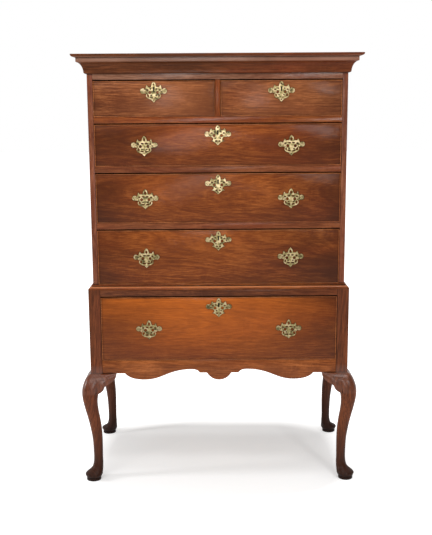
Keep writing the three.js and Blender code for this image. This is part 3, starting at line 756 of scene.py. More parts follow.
# Cabriole legs, each cut from one piece with its post. A level gives the height, how far the outside swings
# past the post, the width and how square the section is, in millimetres.
legLook = {
    "foot": [(0, 26.4, 53.6, 2), (0.7, 27.8, 56.4, 2), (1.6, 28.2, 57.2, 2), (10.2, 28.2, 57.2, 2),
             (11, 27.6, 56, 2), (11.6, 26.6, 54, 2), (12.4, 26.6, 54, 2), (13, 27.8, 56.4, 2)],
    "pad": [(13.4, 28.9, 58.6, 2), (16, 30.9, 62.8, 2), (19.6, 32.4, 66.2, 2), (23.2, 33.4, 68.6, 2),
            (25.6, 33, 68.2, 2), (28, 31, 66.4, 2), (31.4, 27, 62.8, 2), (36.4, 19.4, 55.3, 2),
            (42, 12.2, 48.5, 2), (50.2, 5.8, 42.1, 2), (64, 2, 38.7, 2), (84, 0, 36, 2),
            (118, 0.4, 36.9, 2), (164, 2.6, 39.3, 2.05), (210, 9, 44.4, 2.1), (252, 16.6, 48, 2.15),
            (292, 25.2, 51.5, 2.2), (329, 32.4, 57, 2.3), (360, 35.8, 65, 2.4), (380, 34.7, 69.1, 2.55),
            (396, 31, 70.5, 2.6), (412, 25, 68.5, 2.8), (422, 19, 64.5, 3.2), (430, 12.5, 59, 4),
            (435, 6.5, 53.5, 6)],
    "padSteps": 4,
    "angles": (0, 12, 24, 33, 39, 43, 45, 47, 51, 57, 66, 78),  # one quarter of a section
    "postSquareness": 26,
    "postFoot": [(-0.4, 0.7), (0.4, 0), (2, 0)],  # height over the post's foot, and how much it swells
    "postTop": [(-3, 0), (-1, 0), (0, -0.6)],
}
legWood = {**tones((128, 70, 40), (103, 55, 31), (70, 37, 21)), "smoke": rgb(30, 19, 15),
           "red": rgb(92, 42, 27), "coat": 0.15, "coatRoughness": 0.29, "rays": 0.1, "bump": 0.05,
           # the paler band on the knee tops is partly a painted highlight, over a thicker coat of wax
           "wax": rgb(104, 66, 48), "waxAndHighlightBand": (0.415, 0.055, 0.1, 0.85), "darkFoot": (0.24, 0.95)}
# painted shade: the rear legs are the same oak, given darker tones because they stand in shadow behind
rearLegPaintedShade = tones((104, 58, 36), (82, 45, 28), (56, 30, 19))


def legRing(level):
    height, reach, width, squareness = level
    ring = []
    for quarter in range(4):
        for angle in legLook["angles"]:
            turn = math.radians(90 * quarter + angle)
            c, s = math.cos(turn), math.sin(turn)
            radius = width / 2 * (abs(c) ** squareness + abs(s) ** squareness) ** (-1 / squareness)
            ring.append(Vector((carcase["standHalf"] + (reach - width / 2 + radius * c) * mm,
                                -carcase["standFront"] + (reach - width / 2 + radius * s) * mm,
                                height * mm)))
    return ring


# Glued blocks beside each knee: along is how far a section lies under the apron, drop its depth and swell how
# far it follows the knee outwards.
bracketLook = {
    "length": 54 * mm,
    "drop": 76 * mm,
    "thickness": 24 * mm,
    "swell": 36 * mm,
    "gap": 0.4 * mm,
    "shares": [(1, 0.05, 0.05), (0.97, 0.2, 0.1), (0.9, 0.29, 0.18), (0.76, 0.375, 0.31), (0.6, 0.45, 0.44),
               (0.44, 0.51, 0.55), (0.3, 0.565, 0.63), (0.2, 0.615, 0.68), (0.15, 0.67, 0.7),
               (0.13, 0.74, 0.72), (0.08, 0.8, 0.75), (0.0, 0.855, 0.78), (-0.1, 0.905, 0.8),
               (-0.22, 0.955, 0.82), (-0.4, 1, 0.82)],
    "curve": [(0, 0.1), (0.05, 0.3), (0.11, 0.47), (0.19, 0.62), (0.3, 0.76), (0.43, 0.87), (0.58, 0.94),
              (0.78, 0.985), (1, 1)],
}


def kneeBracket(name, onSide):
    look = bracketLook
    top = carcase["postFoot"] - look["gap"]
    halfWidth, halfDepth = carcase["standHalf"], -carcase["standFront"]
    inside = (halfDepth if onSide else halfWidth) - carcase["postSize"]
    rings = []
    for along, drop, swell in look["shares"]:
        run = inside - along * look["length"]
        depth = drop * look["drop"]
        section = [(out * swell * look["swell"], -down * depth) for down, out in look["curve"]]
        section += [(-look["thickness"], -depth), (-look["thickness"], 0)]
        if onSide:
            rings.append([Vector((halfWidth + out, run, top + rise)) for out, rise in section])
        else:
            rings.append([Vector((run, halfDepth + out, top + rise)) for out, rise in section])
    return loft(name, rings)


def addLegs():
    levels = legLook["foot"] + smoothRows(legLook["pad"], legLook["padSteps"])
    post = carcase["postSize"] / mm
    for end, steps in (("postFoot", legLook["postFoot"]), ("standTop", legLook["postTop"])):
        for rise, swell in steps:
            levels.append((carcase[end] / mm + rise, swell, post + 2 * swell, legLook["postSquareness"]))
    pattern = loft("legPattern", [legRing(level) for level in levels])
    smooth(pattern, "leg")
    blocks = [kneeBracket("bracketPattern", False), kneeBracket("sideBracketPattern", True)]
    for block in blocks:
        smooth(block, "bracket")
    for count, (node, sideX, sideY) in enumerate([("leg_front_left", -1, -1), ("leg_front_right", 1, -1),
                                                  ("leg_rear_left", -1, 1), ("leg_rear_right", 1, 1)]):
        # Each leg is cut further along its log, whose heart runs inside the stand
        heart = (sideX * (0.42 - 0.01 * count), sideY * 0.19, 0.9 * count)
        # the rear legs take darker tones as painted shade
        look = legWood if sideY < 0 else {**legWood, **rearLegPaintedShade}
        wood = oak(node + "Oak", heart, "Z", tilt=(0.03 * sideX, 0.04), **look)
        leg = copyOf(pattern, node + "_turned")
        flip(leg, (sideX, sideY, 1))
        dress(leg, wood, "root", "oak_legs", node)
        for block, label in zip(blocks, ("_front_bracket", "_side_bracket")):
            piece = copyOf(block, node + label)
            flip(piece, (sideX, sideY, 1))
            dress(piece, wood, "root", "oak_legs")
    for piece in [pattern] + blocks:
        bpy.data.objects.remove(piece)


addLegs()
print("legs made")


# Apron and stand sides: flat boards with a shaped lower edge.
apronLook = {
    "thickness": 20 * mm, "easing": 1.2 * mm,
    "lobeHalf": 48 * mm, "lobeDrop": 27.5 * mm, "stepEnd": 76 * mm, "stepRise": 1.5 * mm,
    "archPeak": 108 * mm, "archRise": 15.5 * mm,
    "sideGap": 89 * mm, "sideReach": 78 * mm, "sideDrop": 26 * mm,
    "steps": 14,
    "heart": (2.2, -0.19, 0.42),
    "wood": tones((168, 98, 52), (144, 79, 38), (106, 54, 26)),
    "worn": {"left": (0.16, 0.45), "right": (0.06, 0.2), "foot": 0.12},
}
standSideLook = {
    "thickness": 20 * mm, "easing": 1.2 * mm, "archGap": 88 * mm, "rise": 24 * mm, "steps": 12,
    "heart": (0.56, 0.4, 0.55),
}


def bezier(points, steps):  # a quadratic or cubic curve, without its last point
    curve = []
    for step in range(steps):
        t = step / steps
        layer = [Vector(point) for point in points]
        while len(layer) > 1:
            layer = [a.lerp(b, t) for a, b in zip(layer, layer[1:])]
        curve.append(layer[0])
    return curve


def addApron():
    a = apronLook
    n = a["steps"]
    halfSpan = carcase["standHalf"] - carcase["postSize"] - carcase["jointGap"]
    foot, top, front = carcase["postFoot"], carcase["apronTop"], carcase["standFront"]
    sideEnd = halfSpan + carcase["jointGap"] - a["sideGap"]
    sideLow = sideEnd - a["sideReach"]
    reach = sideLow - a["archPeak"]
    lead = a["archPeak"] - a["stepEnd"]
    edge = bezier([(0, -a["lobeDrop"]), (a["lobeHalf"] * 0.5, -a["lobeDrop"]),
                   (a["lobeHalf"] * 0.8, -a["lobeDrop"] * 0.5), (a["lobeHalf"], a["stepRise"])], n)
    edge += [Vector((a["lobeHalf"], a["stepRise"]))]
    edge += bezier([(a["stepEnd"], a["stepRise"]), (a["stepEnd"] + lead * 0.25, a["archRise"]),
                    (a["archPeak"], a["archRise"])], n // 2)
    edge += bezier([(a["archPeak"], a["archRise"]), (a["archPeak"] + reach * 0.5, a["archRise"]),
                    (a["archPeak"] + reach * 0.62, -a["sideDrop"]), (sideLow, -a["sideDrop"])], n)
    edge += bezier([(sideLow, -a["sideDrop"]), (between(sideEnd, sideLow, 0.25), -a["sideDrop"]),
                    (sideEnd, 0)], n)
    edge += [Vector((sideEnd, 0)), Vector((halfSpan, 0)), Vector((halfSpan, top - foot))]
    outline = edge + [Vector((-p.x, p.y)) for p in reversed(edge[1:])]
    faces = [[Vector((p.x, y, foot + p.y)) for p in outline] for y in (front, front + a["thickness"])]
    apron = loft("apron_board", faces)
    ease(apron, a["easing"])
    low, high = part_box("apron")
    wood = oak("apronOak", a["heart"], tilt=(0.02, 0.02), worn={**a["worn"], "low": low, "high": high},
               **a["wood"])
    dress(apron, wood, "root", "oak_case", "apron")


def addStandSides():
    s = standSideLook
    half = -carcase["standFront"] - carcase["postSize"] - carcase["jointGap"]
    archEnd = half - s["archGap"]
    foot, outer = carcase["postFoot"], carcase["standHalf"]
    arch = bezier([(-archEnd, 0), (-archEnd * 0.7, 0), (-archEnd * 0.6, s["rise"]), (0, s["rise"])],
                  s["steps"])
    edge = [Vector((-half, 0))] + arch + [Vector((0, s["rise"]))]
    edge += [Vector((-p.x, p.y)) for p in reversed(arch)] + [Vector((half, 0))]
    height = carcase["standTop"] - foot
    outline = edge + [Vector((half, height)), Vector((-half, height))]
    outline = [(p.x, foot + p.y) for p in outline]
    for node, side in (("stand_side_left", -1), ("stand_side_right", 1)):
        board = plank(node + "_board", outline, (side * outer, side * (outer - s["thickness"])))
        ease(board, s["easing"])
        x, y, z = s["heart"]
        wood = oak(node + "Oak", (side * x, y, z), "Y", tilt=(0.02, 0.03), **sideWood)
        dress(board, wood, "root", "oak_case", node)


addApron()
addStandSides()
print("apron and stand sides made")


# Mouldings: a section that is carried round the front and both sides with mitred corners.
corniceLow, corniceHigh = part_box("cornice_front")
corniceLook = {
    "height": (corniceHigh.z - corniceLow.z) / mm,
    "reach": (corniceHigh.x - carcase["caseHalf"]) / mm,
    "footReach": 10, "footRise": 7, "bandStep": 1, "bandHeight": 16, "lipReach": 17, "lipHeight": 9,
    "edgeHeight": 3, "inner": 0.3, "round": 0.4, "topEase": 0.6, "steps": 12, "hollowFlatness": 0.3,
    "foot": corniceLow.z, "mitreGap": 0.5 * mm,
    "heart": (0.2, -0.2, 1.6), "sideHeart": (0.46, 0.3, 1.6),
    # the pale band on the cornice is a painted sheen, over a thicker coat of wax
    "wood": {**tones((116, 65, 36), (96, 52, 27), (70, 37, 20)), "coat": 0.1, "wax": rgb(166, 126, 106),
             "waxAndHighlightBand": (corniceLow.z + 51 * mm, 11 * mm, 0.7, 0.3)},
}
waistLook = {
    "section": [(0.3, 0.3), (17.2, 0.3), (18, 0.9), (18, 2.9), (17.3, 3.4), (15.6, 3.5), (15.4, 5.2),
                (14.6, 7.2), (13.2, 9.1), (11.2, 10.8), (8.8, 12), (6.2, 12.8), (4.2, 13), (3.6, 13.2),
                (3.6, 14), (4.6, 14.3), (5.7, 15.2), (6, 16.4), (5.7, 17.6), (4.8, 18.5), (3.4, 19),
                (0.3, 19)],
    "foot": carcase["standTop"],
    "heart": (0.8, -0.2, 0.75),
    # the paler band on the waist moulding is a painted highlight where its bead catches the light
    "wood": {"wax": rgb(190, 116, 68), "waxAndHighlightBand": (carcase["standTop"] + 11 * mm, 5 * mm, 0.62, 0.25)},
}


def corniceSection():
    c = corniceLook
    lipRise = c["height"] - c["edgeHeight"]
    bandTop = lipRise - c["lipHeight"]
    hollowTop = bandTop - c["bandHeight"]
    bandReach = c["reach"] - c["lipReach"]
    hollowReach = bandReach - c["bandStep"]
    points = [(c["inner"], 0), (c["footReach"] * 0.4, 0), (c["footReach"] * 0.75, c["footRise"] * 0.2),
              (c["footReach"], c["footRise"] * 0.6)]
    start, corner, end = (Vector(p) for p in ((c["footReach"], c["footRise"]), (c["footReach"], hollowTop),
                                              (hollowReach, hollowTop)))
    corner = corner.lerp((start + end) / 2, c["hollowFlatness"])
    points += [(p.x, p.y) for p in bezier([start, corner, end], c["steps"])] + [(end.x, end.y)]
    points += [(bandReach - c["round"], hollowTop), (bandReach, hollowTop + c["round"])]
    for step in range(c["steps"] + 1):
        turn = step / c["steps"] * math.pi / 2
        points.append((bandReach + c["lipReach"] * math.sin(turn), lipRise - c["lipHeight"] * math.cos(turn)))
    points += [(c["reach"], c["height"] - c["topEase"]), (c["reach"] - c["topEase"], c["height"])]
    return points + [(c["inner"], c["height"])]


def mitreRing(section, look, side, setBack=0):
    return [Vector((side * (carcase["caseHalf"] + reach * mm), carcase["caseFront"] + setBack - reach * mm,
                    look["foot"] + rise * mm)) for reach, rise in section]


def backRing(section, look, side):
    return [Vector((side * (carcase["caseHalf"] + reach * mm), carcase["back"], look["foot"] + rise * mm))
            for reach, rise in section]


def addMouldings():
    section = corniceSection()
    front = loft("cornice_front_length", [mitreRing(section, corniceLook, -1),
                                          mitreRing(section, corniceLook, 1)])
    smooth(front, "moulding")
    look = corniceLook["wood"]
    dress(front, oak("corniceOak", corniceLook["heart"], **look), "root", "oak_case", "cornice_front")
    for node, side in (("cornice_left", -1), ("cornice_right", 1)):
        rings = [mitreRing(section, corniceLook, side, corniceLook["mitreGap"]),
                 backRing(section, corniceLook, side)]
        length = loft(node + "_length", rings)
        smooth(length, "moulding")
        x, y, z = corniceLook["sideHeart"]
        dress(length, oak(node + "Oak", (side * x, y, z), "Y", **look), "root", "oak_case", node)
    section = waistLook["section"]
    waist = loft("waist_moulding_length", [
        backRing(section, waistLook, -1), mitreRing(section, waistLook, -1),
        mitreRing(section, waistLook, 1), backRing(section, waistLook, 1)])
    smooth(waist, "moulding")
    wood = oak("waistOak", waistLook["heart"], **waistLook["wood"])
    dress(waist, wood, "root", "oak_case", "waist_moulding")


addMouldings()
print("mouldings made")


# Pierced plates of the brasses, drawn flat in shares of half the width and half the height.
plateLow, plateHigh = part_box("drawer_deep_escutcheon")
plateLook = {
    "half": ((plateHigh - plateLow).x / 2, (plateHigh - plateLow).z / 2),
    "thickness": 1.8 * mm,
    "rounding": 0.4 * mm,
    "topCurves": [  # from the top down to the ear, each with its number of steps
        (5, (0, 1), (0.07, 0.94), (0.145, 0.84), (0.17, 0.66)),
        (4, (0.17, 0.66), (0.18, 0.54), (0.24, 0.46)),
        (4, (0.24, 0.46), (0.31, 0.52), (0.38, 0.47)),
        (4, (0.38, 0.47), (0.46, 0.5), (0.51, 0.69)),
        (4, (0.51, 0.69), (0.575, 0.52), (0.61, 0.3)),
    ],
    "footCurves": [  # from the ear down to the foot
        (4, (0.66, -0.14), (0.5, -0.1), (0.39, -0.24)),
        (4, (0.39, -0.24), (0.3, -0.38), (0.38, -0.49)),
        (3, (0.38, -0.49), (0.44, -0.57), (0.52, -0.575)),
        (4, (0.52, -0.575), (0.34, -0.585), (0.22, -0.72)),
        (5, (0.22, -0.72), (0.13, -0.79), (0.08, -0.9), (0, -1)),
    ],
    "earRadius": 9.5 * mm, "earRise": 4 * mm, "earTurn": (150, -128), "earSteps": 14,
    # Each hole: its middle across and up, and half its width and height
    "pierced": [(0.285, -0.04, 0.115, 0.16), (0.46, 0.2, 0.09, 0.085), (0.185, -0.31, 0.06, 0.07),
                (0.625, 0.0, 0.045, 0.07)],
    "keyless": [(0, 0.62, 0.085, 0.17)],
    "keylessPairs": [(0.15, 0.25, 0.115, 0.085), (0.165, -0.55, 0.13, 0.085)],
    "keyed": [(0, 0.74, 0.065, 0.08), (0, -0.78, 0.05, 0.06)],
    "keyedPairs": [(0.235, 0.31, 0.06, 0.075), (0.125, -0.58, 0.09, 0.09)],
    "holeSides": 10,
    "scroll": (5.6 * mm, 1.35 * mm),  # the raised ring on each ear
    "scrollSides": (20, 6, 10),  # round the ring, round its section and round the dome
    "dome": [(2.4, 0.5), (2.3, -0.3), (1.7, -0.9), (0.8, -1.2)],  # radius and y inside the ring, in mm
    "eyeRadius": 3.6 * mm, "eyeRise": 15.5 * mm, "slotWidth": 5.2 * mm, "slotFoot": 1.5 * mm, "eyeSteps": 12,
}


def plateOutline():
    look = plateLook
    w, h = look["half"]
    ear = look["earRadius"]

    def curves(rows):
        return [point for steps, *shares in rows
                for point in bezier([(across * w, up * h) for across, up in shares], steps)]

    edge = curves(look["topCurves"])
    for step in range(look["earSteps"] + 1):
        turn = math.radians(between(*look["earTurn"], step / look["earSteps"]))
        edge.append(Vector((w - ear + ear * math.cos(turn), look["earRise"] + ear * math.sin(turn))))
    edge += curves(look["footCurves"]) + [Vector((0, -h))]
    return edge + [Vector((-p.x, p.y)) for p in reversed(edge[1:-1])]


def keyhole(growth=0.0):
    look = plateLook
    radius, half = look["eyeRadius"] + growth, look["slotWidth"] / 2 + growth
    opening = math.asin(half / radius)
    low = look["slotFoot"] - growth
    ring = [Vector((half, low))]
    for step in range(look["eyeSteps"] + 1):
        turn = between(opening - math.pi / 2, math.pi * 1.5 - opening, step / look["eyeSteps"])
        ring.append(Vector((radius * math.cos(turn), look["eyeRise"] + radius * math.sin(turn))))
    return ring + [Vector((-half, low))]


def pierceRing(across, up, radiusAcross, radiusUp):
    w, h = plateLook["half"]
    count = plateLook["holeSides"]
    return [Vector(((across + radiusAcross * math.cos(k / count * math.tau)) * w,
                    (up + radiusUp * math.sin(k / count * math.tau)) * h)) for k in range(count)]


def plate(name, hasKeyhole):
    kind = "keyed" if hasKeyhole else "keyless"
    loops = [plateOutline()]
    for across, *rest in plateLook["pierced"] + plateLook[kind + "Pairs"]:
        loops += [pierceRing(across, *rest), pierceRing(-across, *rest)]
    loops += [pierceRing(*hole) for hole in plateLook[kind]]
    if hasKeyhole:
        loops.append(keyhole())
    piece = startMesh(name)
    for loop in loops:
        addLoop([Vector((p.x, p.y, 0)) for p in loop], "NOTHING")
    bpy.ops.object.mode_set(mode="OBJECT")
    piece.data.attributes.remove(piece.data.attributes["order"])
    bpy.ops.object.convert(target="CURVE")
    curve = bpy.context.object.data
    curve.dimensions = "2D"
    curve.fill_mode = "BOTH"
    curve.extrude = plateLook["thickness"] / 2 - plateLook["rounding"]
    curve.bevel_depth = plateLook["rounding"]
    curve.offset = -plateLook["rounding"]
    curve.bevel_resolution = 1
    bpy.ops.object.convert(target="MESH")
    piece = bpy.context.object
    piece.rotation_euler = (math.pi / 2, 0, 0)
    piece.location = (0, -plateLook["thickness"] / 2, 0)
    settle(piece)
    return joined(name, [earScroll(-1), earScroll(1), piece])


def earScroll(side):  # a raised ring with a small dome in its middle, cast on the ear
    width, _ = plateLook["half"]
    middle = Vector((side * (width - plateLook["earRadius"]), -plateLook["thickness"], plateLook["earRise"]))
    ring, thick = plateLook["scroll"]
    sides, ringSides, domeSides = plateLook["scrollSides"]
    scroll = placed(bpy.ops.mesh.primitive_torus_add, location=middle, rotation=(math.pi / 2, 0, 0),
                    major_radius=ring, minor_radius=thick, major_segments=sides, minor_segments=ringSides)
    profile = [(radius * mm, middle.y + out * mm) for radius, out in plateLook["dome"]]
    return joined("earScroll", [turned("earDome", middle.x, middle.z, profile, domeSides), scroll])


# Posts and bails. The bail hangs by its two ends in the heads of the posts. A profile gives the post's radius
# and its y, in millimetres.
handleLook = {
    "spacing": 56 * mm, "rise": -1 * mm, "reach": 12 * mm, "head": 4.4 * mm,
    "headTurn": (-1.25, 1.02), "headSteps": 8,
    "tip": [(0.4, -5.3), (1.2, -4.9)],  # before the middle of the head
    "neck": [(2.8, 4.312), (2.3, 5.28)],  # behind the middle of the head
    "collar": [(2.3, -3.4), (2.9, -2.2), (4.2, -1.3), (4.6, -0.7), (4.6, 0.2), (1.5, 0.3)],  # on the plate
    "nut": [(1.5, 20.7), (5.4, 20.8), (5.4, 23.3), (1.5, 23.5), (1.5, 25.5), (0.9, 26)],  # inside the drawer
    "postSides": 16, "drill": 1.9 * mm, "drillSides": 12, "drillReach": 50 * mm,
    "bailRadius": 1.75 * mm, "bailMiddle": 2.25 * mm, "clearance": 0.45 * mm, "bailSides": 12, "bailSteps": 5,
    "neckInset": 7.2 * mm, "pinEnd": 2.5 * mm, "drop": 24 * mm,
    "shares": [(0.92, -0.4), (0.88, -0.66), (0.64, -0.88), (0.3, -0.98)],
}


def turnedPost(name, side):
    look = handleLook
    face = -plateLook["thickness"]
    middle = face - look["reach"]
    head = look["head"]
    profile = [(radius * mm, middle + y * mm) for radius, y in look["tip"]]
    for step in range(look["headSteps"] + 1):
        turn = between(*look["headTurn"], step / look["headSteps"])
        profile.append((head * math.cos(turn), middle + head * math.sin(turn)))
    for start, rows in ((middle, look["neck"]), (face, look["collar"]), (0, look["nut"])):
        profile += [(radius * mm, start + y * mm) for radius, y in rows]
    x = side * look["spacing"] / 2
    post = turned(name, x, look["rise"], profile, look["postSides"])
    cutAway(post, addRod(x, middle, look["rise"], look["bailRadius"] + look["clearance"], 3 * head,
                         look["postSides"], (0, math.pi / 2, 0)))
    return post


def bailPattern():
    look = handleLook
    half = look["spacing"] / 2
    points = [(half + look["pinEnd"], 0), (half - look["neckInset"] + 2 * look["bailRadius"], 0),
              (half - look["neckInset"], -look["bailRadius"] / 2)]
    points += [(across * half, up * look["drop"]) for across, up in look["shares"]]
    points += [(0, -look["drop"])] + [(-x, z) for x, z in reversed(points)]
    path = smoothRows(points, look["bailSteps"])
    turns = [k / look["bailSides"] * math.tau for k in range(look["bailSides"])]
    rings = []
    for index, (x, z) in enumerate(path):
        before, after = path[max(0, index - 1)], path[min(len(path) - 1, index + 1)]
        along = Vector((after[0] - before[0], 0, after[1] - before[1])).normalized()
        out = Vector((0, 1, 0)).cross(along)
        share = max(0.0, -z / look["drop"])
        radius = between(look["bailRadius"], look["bailMiddle"], share ** 3)
        rings.append([Vector((x, 0, z)) + radius * (math.cos(turn) * out + math.sin(turn) * Vector((0, 1, 0)))
                      for turn in turns])
    bail = loft("bailPattern", rings)
    smooth(bail, "bail")
    return bail


brassLook = {
    "bright": rgb(226, 202, 156),
    "middle": rgb(172, 154, 100),
    "dull": rgb(90, 82, 44),
    "cloud": ((85, 85, 85), 4.0), "fine": ((700, 700, 700), 3.0),
    "cloudStops": (0.36, 0.49, 0.62),  # where dull, middle and bright lie in the clouds
    "shadeLevels": (1.3, 0.5), "shadeShare": 0.5,  # painted shade: duller from the first height down to the second, as the light falls off lower down
    "dirtAndShade": rgb(40, 27, 8), "dirtAndShadeReach": 6 * mm, "grimeAndShade": ((0.5, 1), (0.92, 0)),
    "roughness": ((0.34, 0.5), (0.66, 0.3)),
    "metallic": 0.45,
    "bump": 0.35, "bumpDistance": 0.2 * mm,
}


def brassMaterial():
    look = brassLook
    material, add, shader, place = startMaterial("oldBrass")
    cloud, fine = noise(add, place, *look["cloud"]), noise(add, place, *look["fine"])
    colour = ramp(add, cloud, *zip(look["cloudStops"], (look["dull"], look["middle"], look["bright"])))
    # painted shade: the lower brasses are made duller
    low = mapRange(add, axesOf(add, place)[2], look["shadeLevels"], (0.0, look["shadeShare"]))
    colour = mix(add, low, colour, look["dull"])
    # tarnish and painted shade: darker where ambient occlusion finds a hollow
    grimeAndShade = ramp(add, openness(add, look["dirtAndShadeReach"]), *look["grimeAndShade"])
    feed(material.node_tree, shader, {"Base Color": mix(add, grimeAndShade, colour, look["dirtAndShade"]),
                                      "Roughness": ramp(add, cloud, *look["roughness"]),
                                      "Metallic": look["metallic"]})
    bumped(material.node_tree, add, shader, fine, look["bump"], look["bumpDistance"], "Normal")
    return material


# Drawers. Their places come from the frame. For each front, left and right say how far in and how much its
# ends have darkened, foot how much its foot has, and glow where the polish has gone thin.
drawerLook = {
    "beadWidth": 3 * mm, "beadProud": 1.2 * mm, "beadDeep": 2.5 * mm,
    "beadSection": [(0, -0.2), (0.06, -0.5), (0.2, -0.82), (0.5, -1), (0.8, -0.82), (0.94, -0.5), (1, -0.2)],
    "joint": 0.12 * mm, "quirk": 0.7 * mm, "edge": 0.35 * mm, "toolReach": 5 * mm,
    "sag": 1.5 * mm,  # how much lower the top of a worn front is than its opening
    "keyholeGrowth": -0.2 * mm,  # beside the keyhole of the brass
    "tilt": (0.012, 0.05), "liningTilt": (0.02, 0.02),  # how far the grain leans
    "lining": 11 * mm, "bottom": 9 * mm, "backDrop": 6 * mm, "jointGap": 0.15 * mm, "bottomEasing": 0.5 * mm,
    "tailReach": 12 * mm, "tailPitch": 42 * mm, "tailShares": (0.3, 0.38),  # half widths at its neck and end
    "lock": {
        "size": (62 * mm, 44 * mm), "plate": 1.6 * mm, "plateEasing": 0.5 * mm,
        "case": (50 * mm, 32 * mm, 8 * mm), "caseFoot": 0.2 * mm, "caseEasing": 0.8 * mm,
        "pin": [(2.2, 0.8), (2.2, 1.9), (1.32, 2.5)], "pinInset": 4.4 * mm, "pinSides": 8,
    },
    # the bead is painted paler than the front: partly wear, partly a painted highlight along its rounded edge
    "beadOak": {**tones((176, 108, 62), (150, 86, 46), (112, 62, 32)), "dirtAndShadeReach": 1.6 * mm, "dirtAndShade": 0.6},
    "worn": {
        "drawer_short_left": {
            "heart": (0.3, -0.17, 1.47), "left": (0.2, 0.5), "right": (0.04, 0.3), "foot": 0.1,
            "glow": rgb(168, 104, 64), "glowReach": 1.8, "glowMiddle": 0.7, "glowShare": 0.6,
            "look": tones((168, 103, 60), (140, 80, 45), (103, 55, 31)),
        },
        "drawer_short_right": {
            "heart": (1.9, -0.19, 1.52), "left": (0.03, 0.2), "right": (0.12, 0.55), "foot": 0.1,
            "glow": rgb(150, 92, 54), "glowReach": 1.8, "glowMiddle": 0.6, "glowShare": 0.5,
            "look": tones((158, 95, 54), (131, 74, 40), (95, 50, 28)),
        },
        "drawer_upper": {
            "heart": (3.1, -0.15, 1.30), "left": (0.28, 0.75), "right": (0.2, 0.62), "foot": 0.32,
            "glow": rgb(158, 80, 30), "glowReach": 1.3, "glowMiddle": 0.38, "glowShare": 0.42,
        },
        "drawer_middle": {
            "heart": (4.4, -0.18, 1.09), "left": (0.2, 0.7), "right": (0.3, 0.62), "foot": 0.22,
            "glow": rgb(160, 84, 30), "glowReach": 1.4, "glowMiddle": 0.38, "glowShare": 0.34,
        },
        "drawer_lower": {
            "heart": (6.2, -0.16, 0.92), "left": (0.2, 0.72), "right": (0.44, 0.66), "foot": 0.2,
            "glow": rgb(160, 84, 28), "glowReach": 1.2, "glowMiddle": 0.36, "glowShare": 0.4,
        },
        "drawer_deep": {
            "heart": (0.1, -0.215, 0.63), "left": (0.25, 0.44), "right": (0.26, 0.66), "foot": 0.0,
            "glow": rgb(196, 102, 32), "glowReach": 0.95, "glowMiddle": 0.4, "glowShare": 1.1,
            "glowWidth": 0.62, "look": {"contrast": (0.39, 0.5, 0.61)},
        },
    },
}


def tailEdge(low, high, end, reach, growth=0.0):  # up one end of a drawer side, five points for each dovetail
    look = drawerLook
    count = max(2, round((high - low) / look["tailPitch"]))
    pitch = (high - low) / count
    neck, tip = (share * pitch + growth for share in look["tailShares"])
    shoulder = end - reach
    tails = []
    for index in range(count):
        middle = low + (index + 0.5) * pitch
        tails.append([(shoulder, middle - neck), (end, middle - tip), (end, middle), (end, middle + tip),
                      (shoulder, middle + neck)])
    return tails


def tailTools(ends, tailEnd, boxLow, boxHigh):  # what the front loses to the tails of one side
    look = drawerLook
    end, reach = tailEnd - look["jointGap"], -(look["tailReach"] + look["lining"])
    tails = tailEdge(boxLow.z, boxHigh.z, end, reach, look["jointGap"])
    return [plank("tailTool", tail, ends) for tail in tails]


def drawerFront(name, low, high, lock, drills):
    look = drawerLook
    rebate = look["beadDeep"] + look["joint"]
    front = addBox(name + "_faced", low + Vector((0, rebate, 0)), high)
    pick(front)
    bpy.ops.object.mode_set(mode="EDIT")
    bpy.ops.mesh.select_mode(type="FACE")
    mesh = bmesh.from_edit_mesh(front.data)
    for face in mesh.faces:
        face.select_set(face.normal.y < -0.9)
    bmesh.update_edit_mesh(front.data)
    bpy.ops.mesh.inset(thickness=look["beadWidth"] + look["quirk"], depth=0)
    bpy.ops.mesh.extrude_region_move(TRANSFORM_OT_translate={"value": (0, -rebate, 0)})
    bpy.ops.mesh.bevel(offset=look["edge"], segments=2, affect="EDGES")
    bpy.ops.mesh.select_mode(type="VERT")
    bpy.ops.object.mode_set(mode="OBJECT")
    ring = keyhole(look["keyholeGrowth"])
    reach = look["toolReach"]
    tools = [loft("keyholeTool", [[Vector((lock.x + p.x, y, lock.z + p.y)) for p in ring]
                                  for y in (low.y - reach, high.y + reach)])]
    tools += [addRod(x, low.y, z, handleLook["drill"], 2 * handleLook["drillReach"], handleLook["drillSides"],
                     (math.pi / 2, 0, 0)) for x, z in drills]
    boxLow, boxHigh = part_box(name + "_box")
    inner, outer = look["lining"] + look["jointGap"], look["lining"]
    for ends in ((boxLow.x - outer, boxLow.x + inner), (boxHigh.x - inner, boxHigh.x + outer)):
        tools += tailTools(ends, high.y - look["tailReach"], boxLow, boxHigh)
    cutAway(front, joined("frontTools", tools))
    smooth(front, "front")
    return front


def beadFrame(name, low, high):  # a thin half-round strip round the front, mitred at its corners
    look = drawerLook
    w, out, deep = look["beadWidth"], look["beadProud"], look["beadDeep"]
    section = [(0, deep)] + [(u * w, v * out) for u, v in look["beadSection"]] + [(w, deep)]
    corners = ((low.x, low.z, 1, 1), (high.x, low.z, -1, 1), (high.x, high.z, -1, -1), (low.x, high.z, 1, -1))
    rings = [[Vector((x + acrossX * u, low.y + v, z + acrossZ * u)) for u, v in section]
             for x, z, acrossX, acrossZ in corners]
    bead = sweepRound(name, rings)
    smooth(bead, "bead")
    return bead


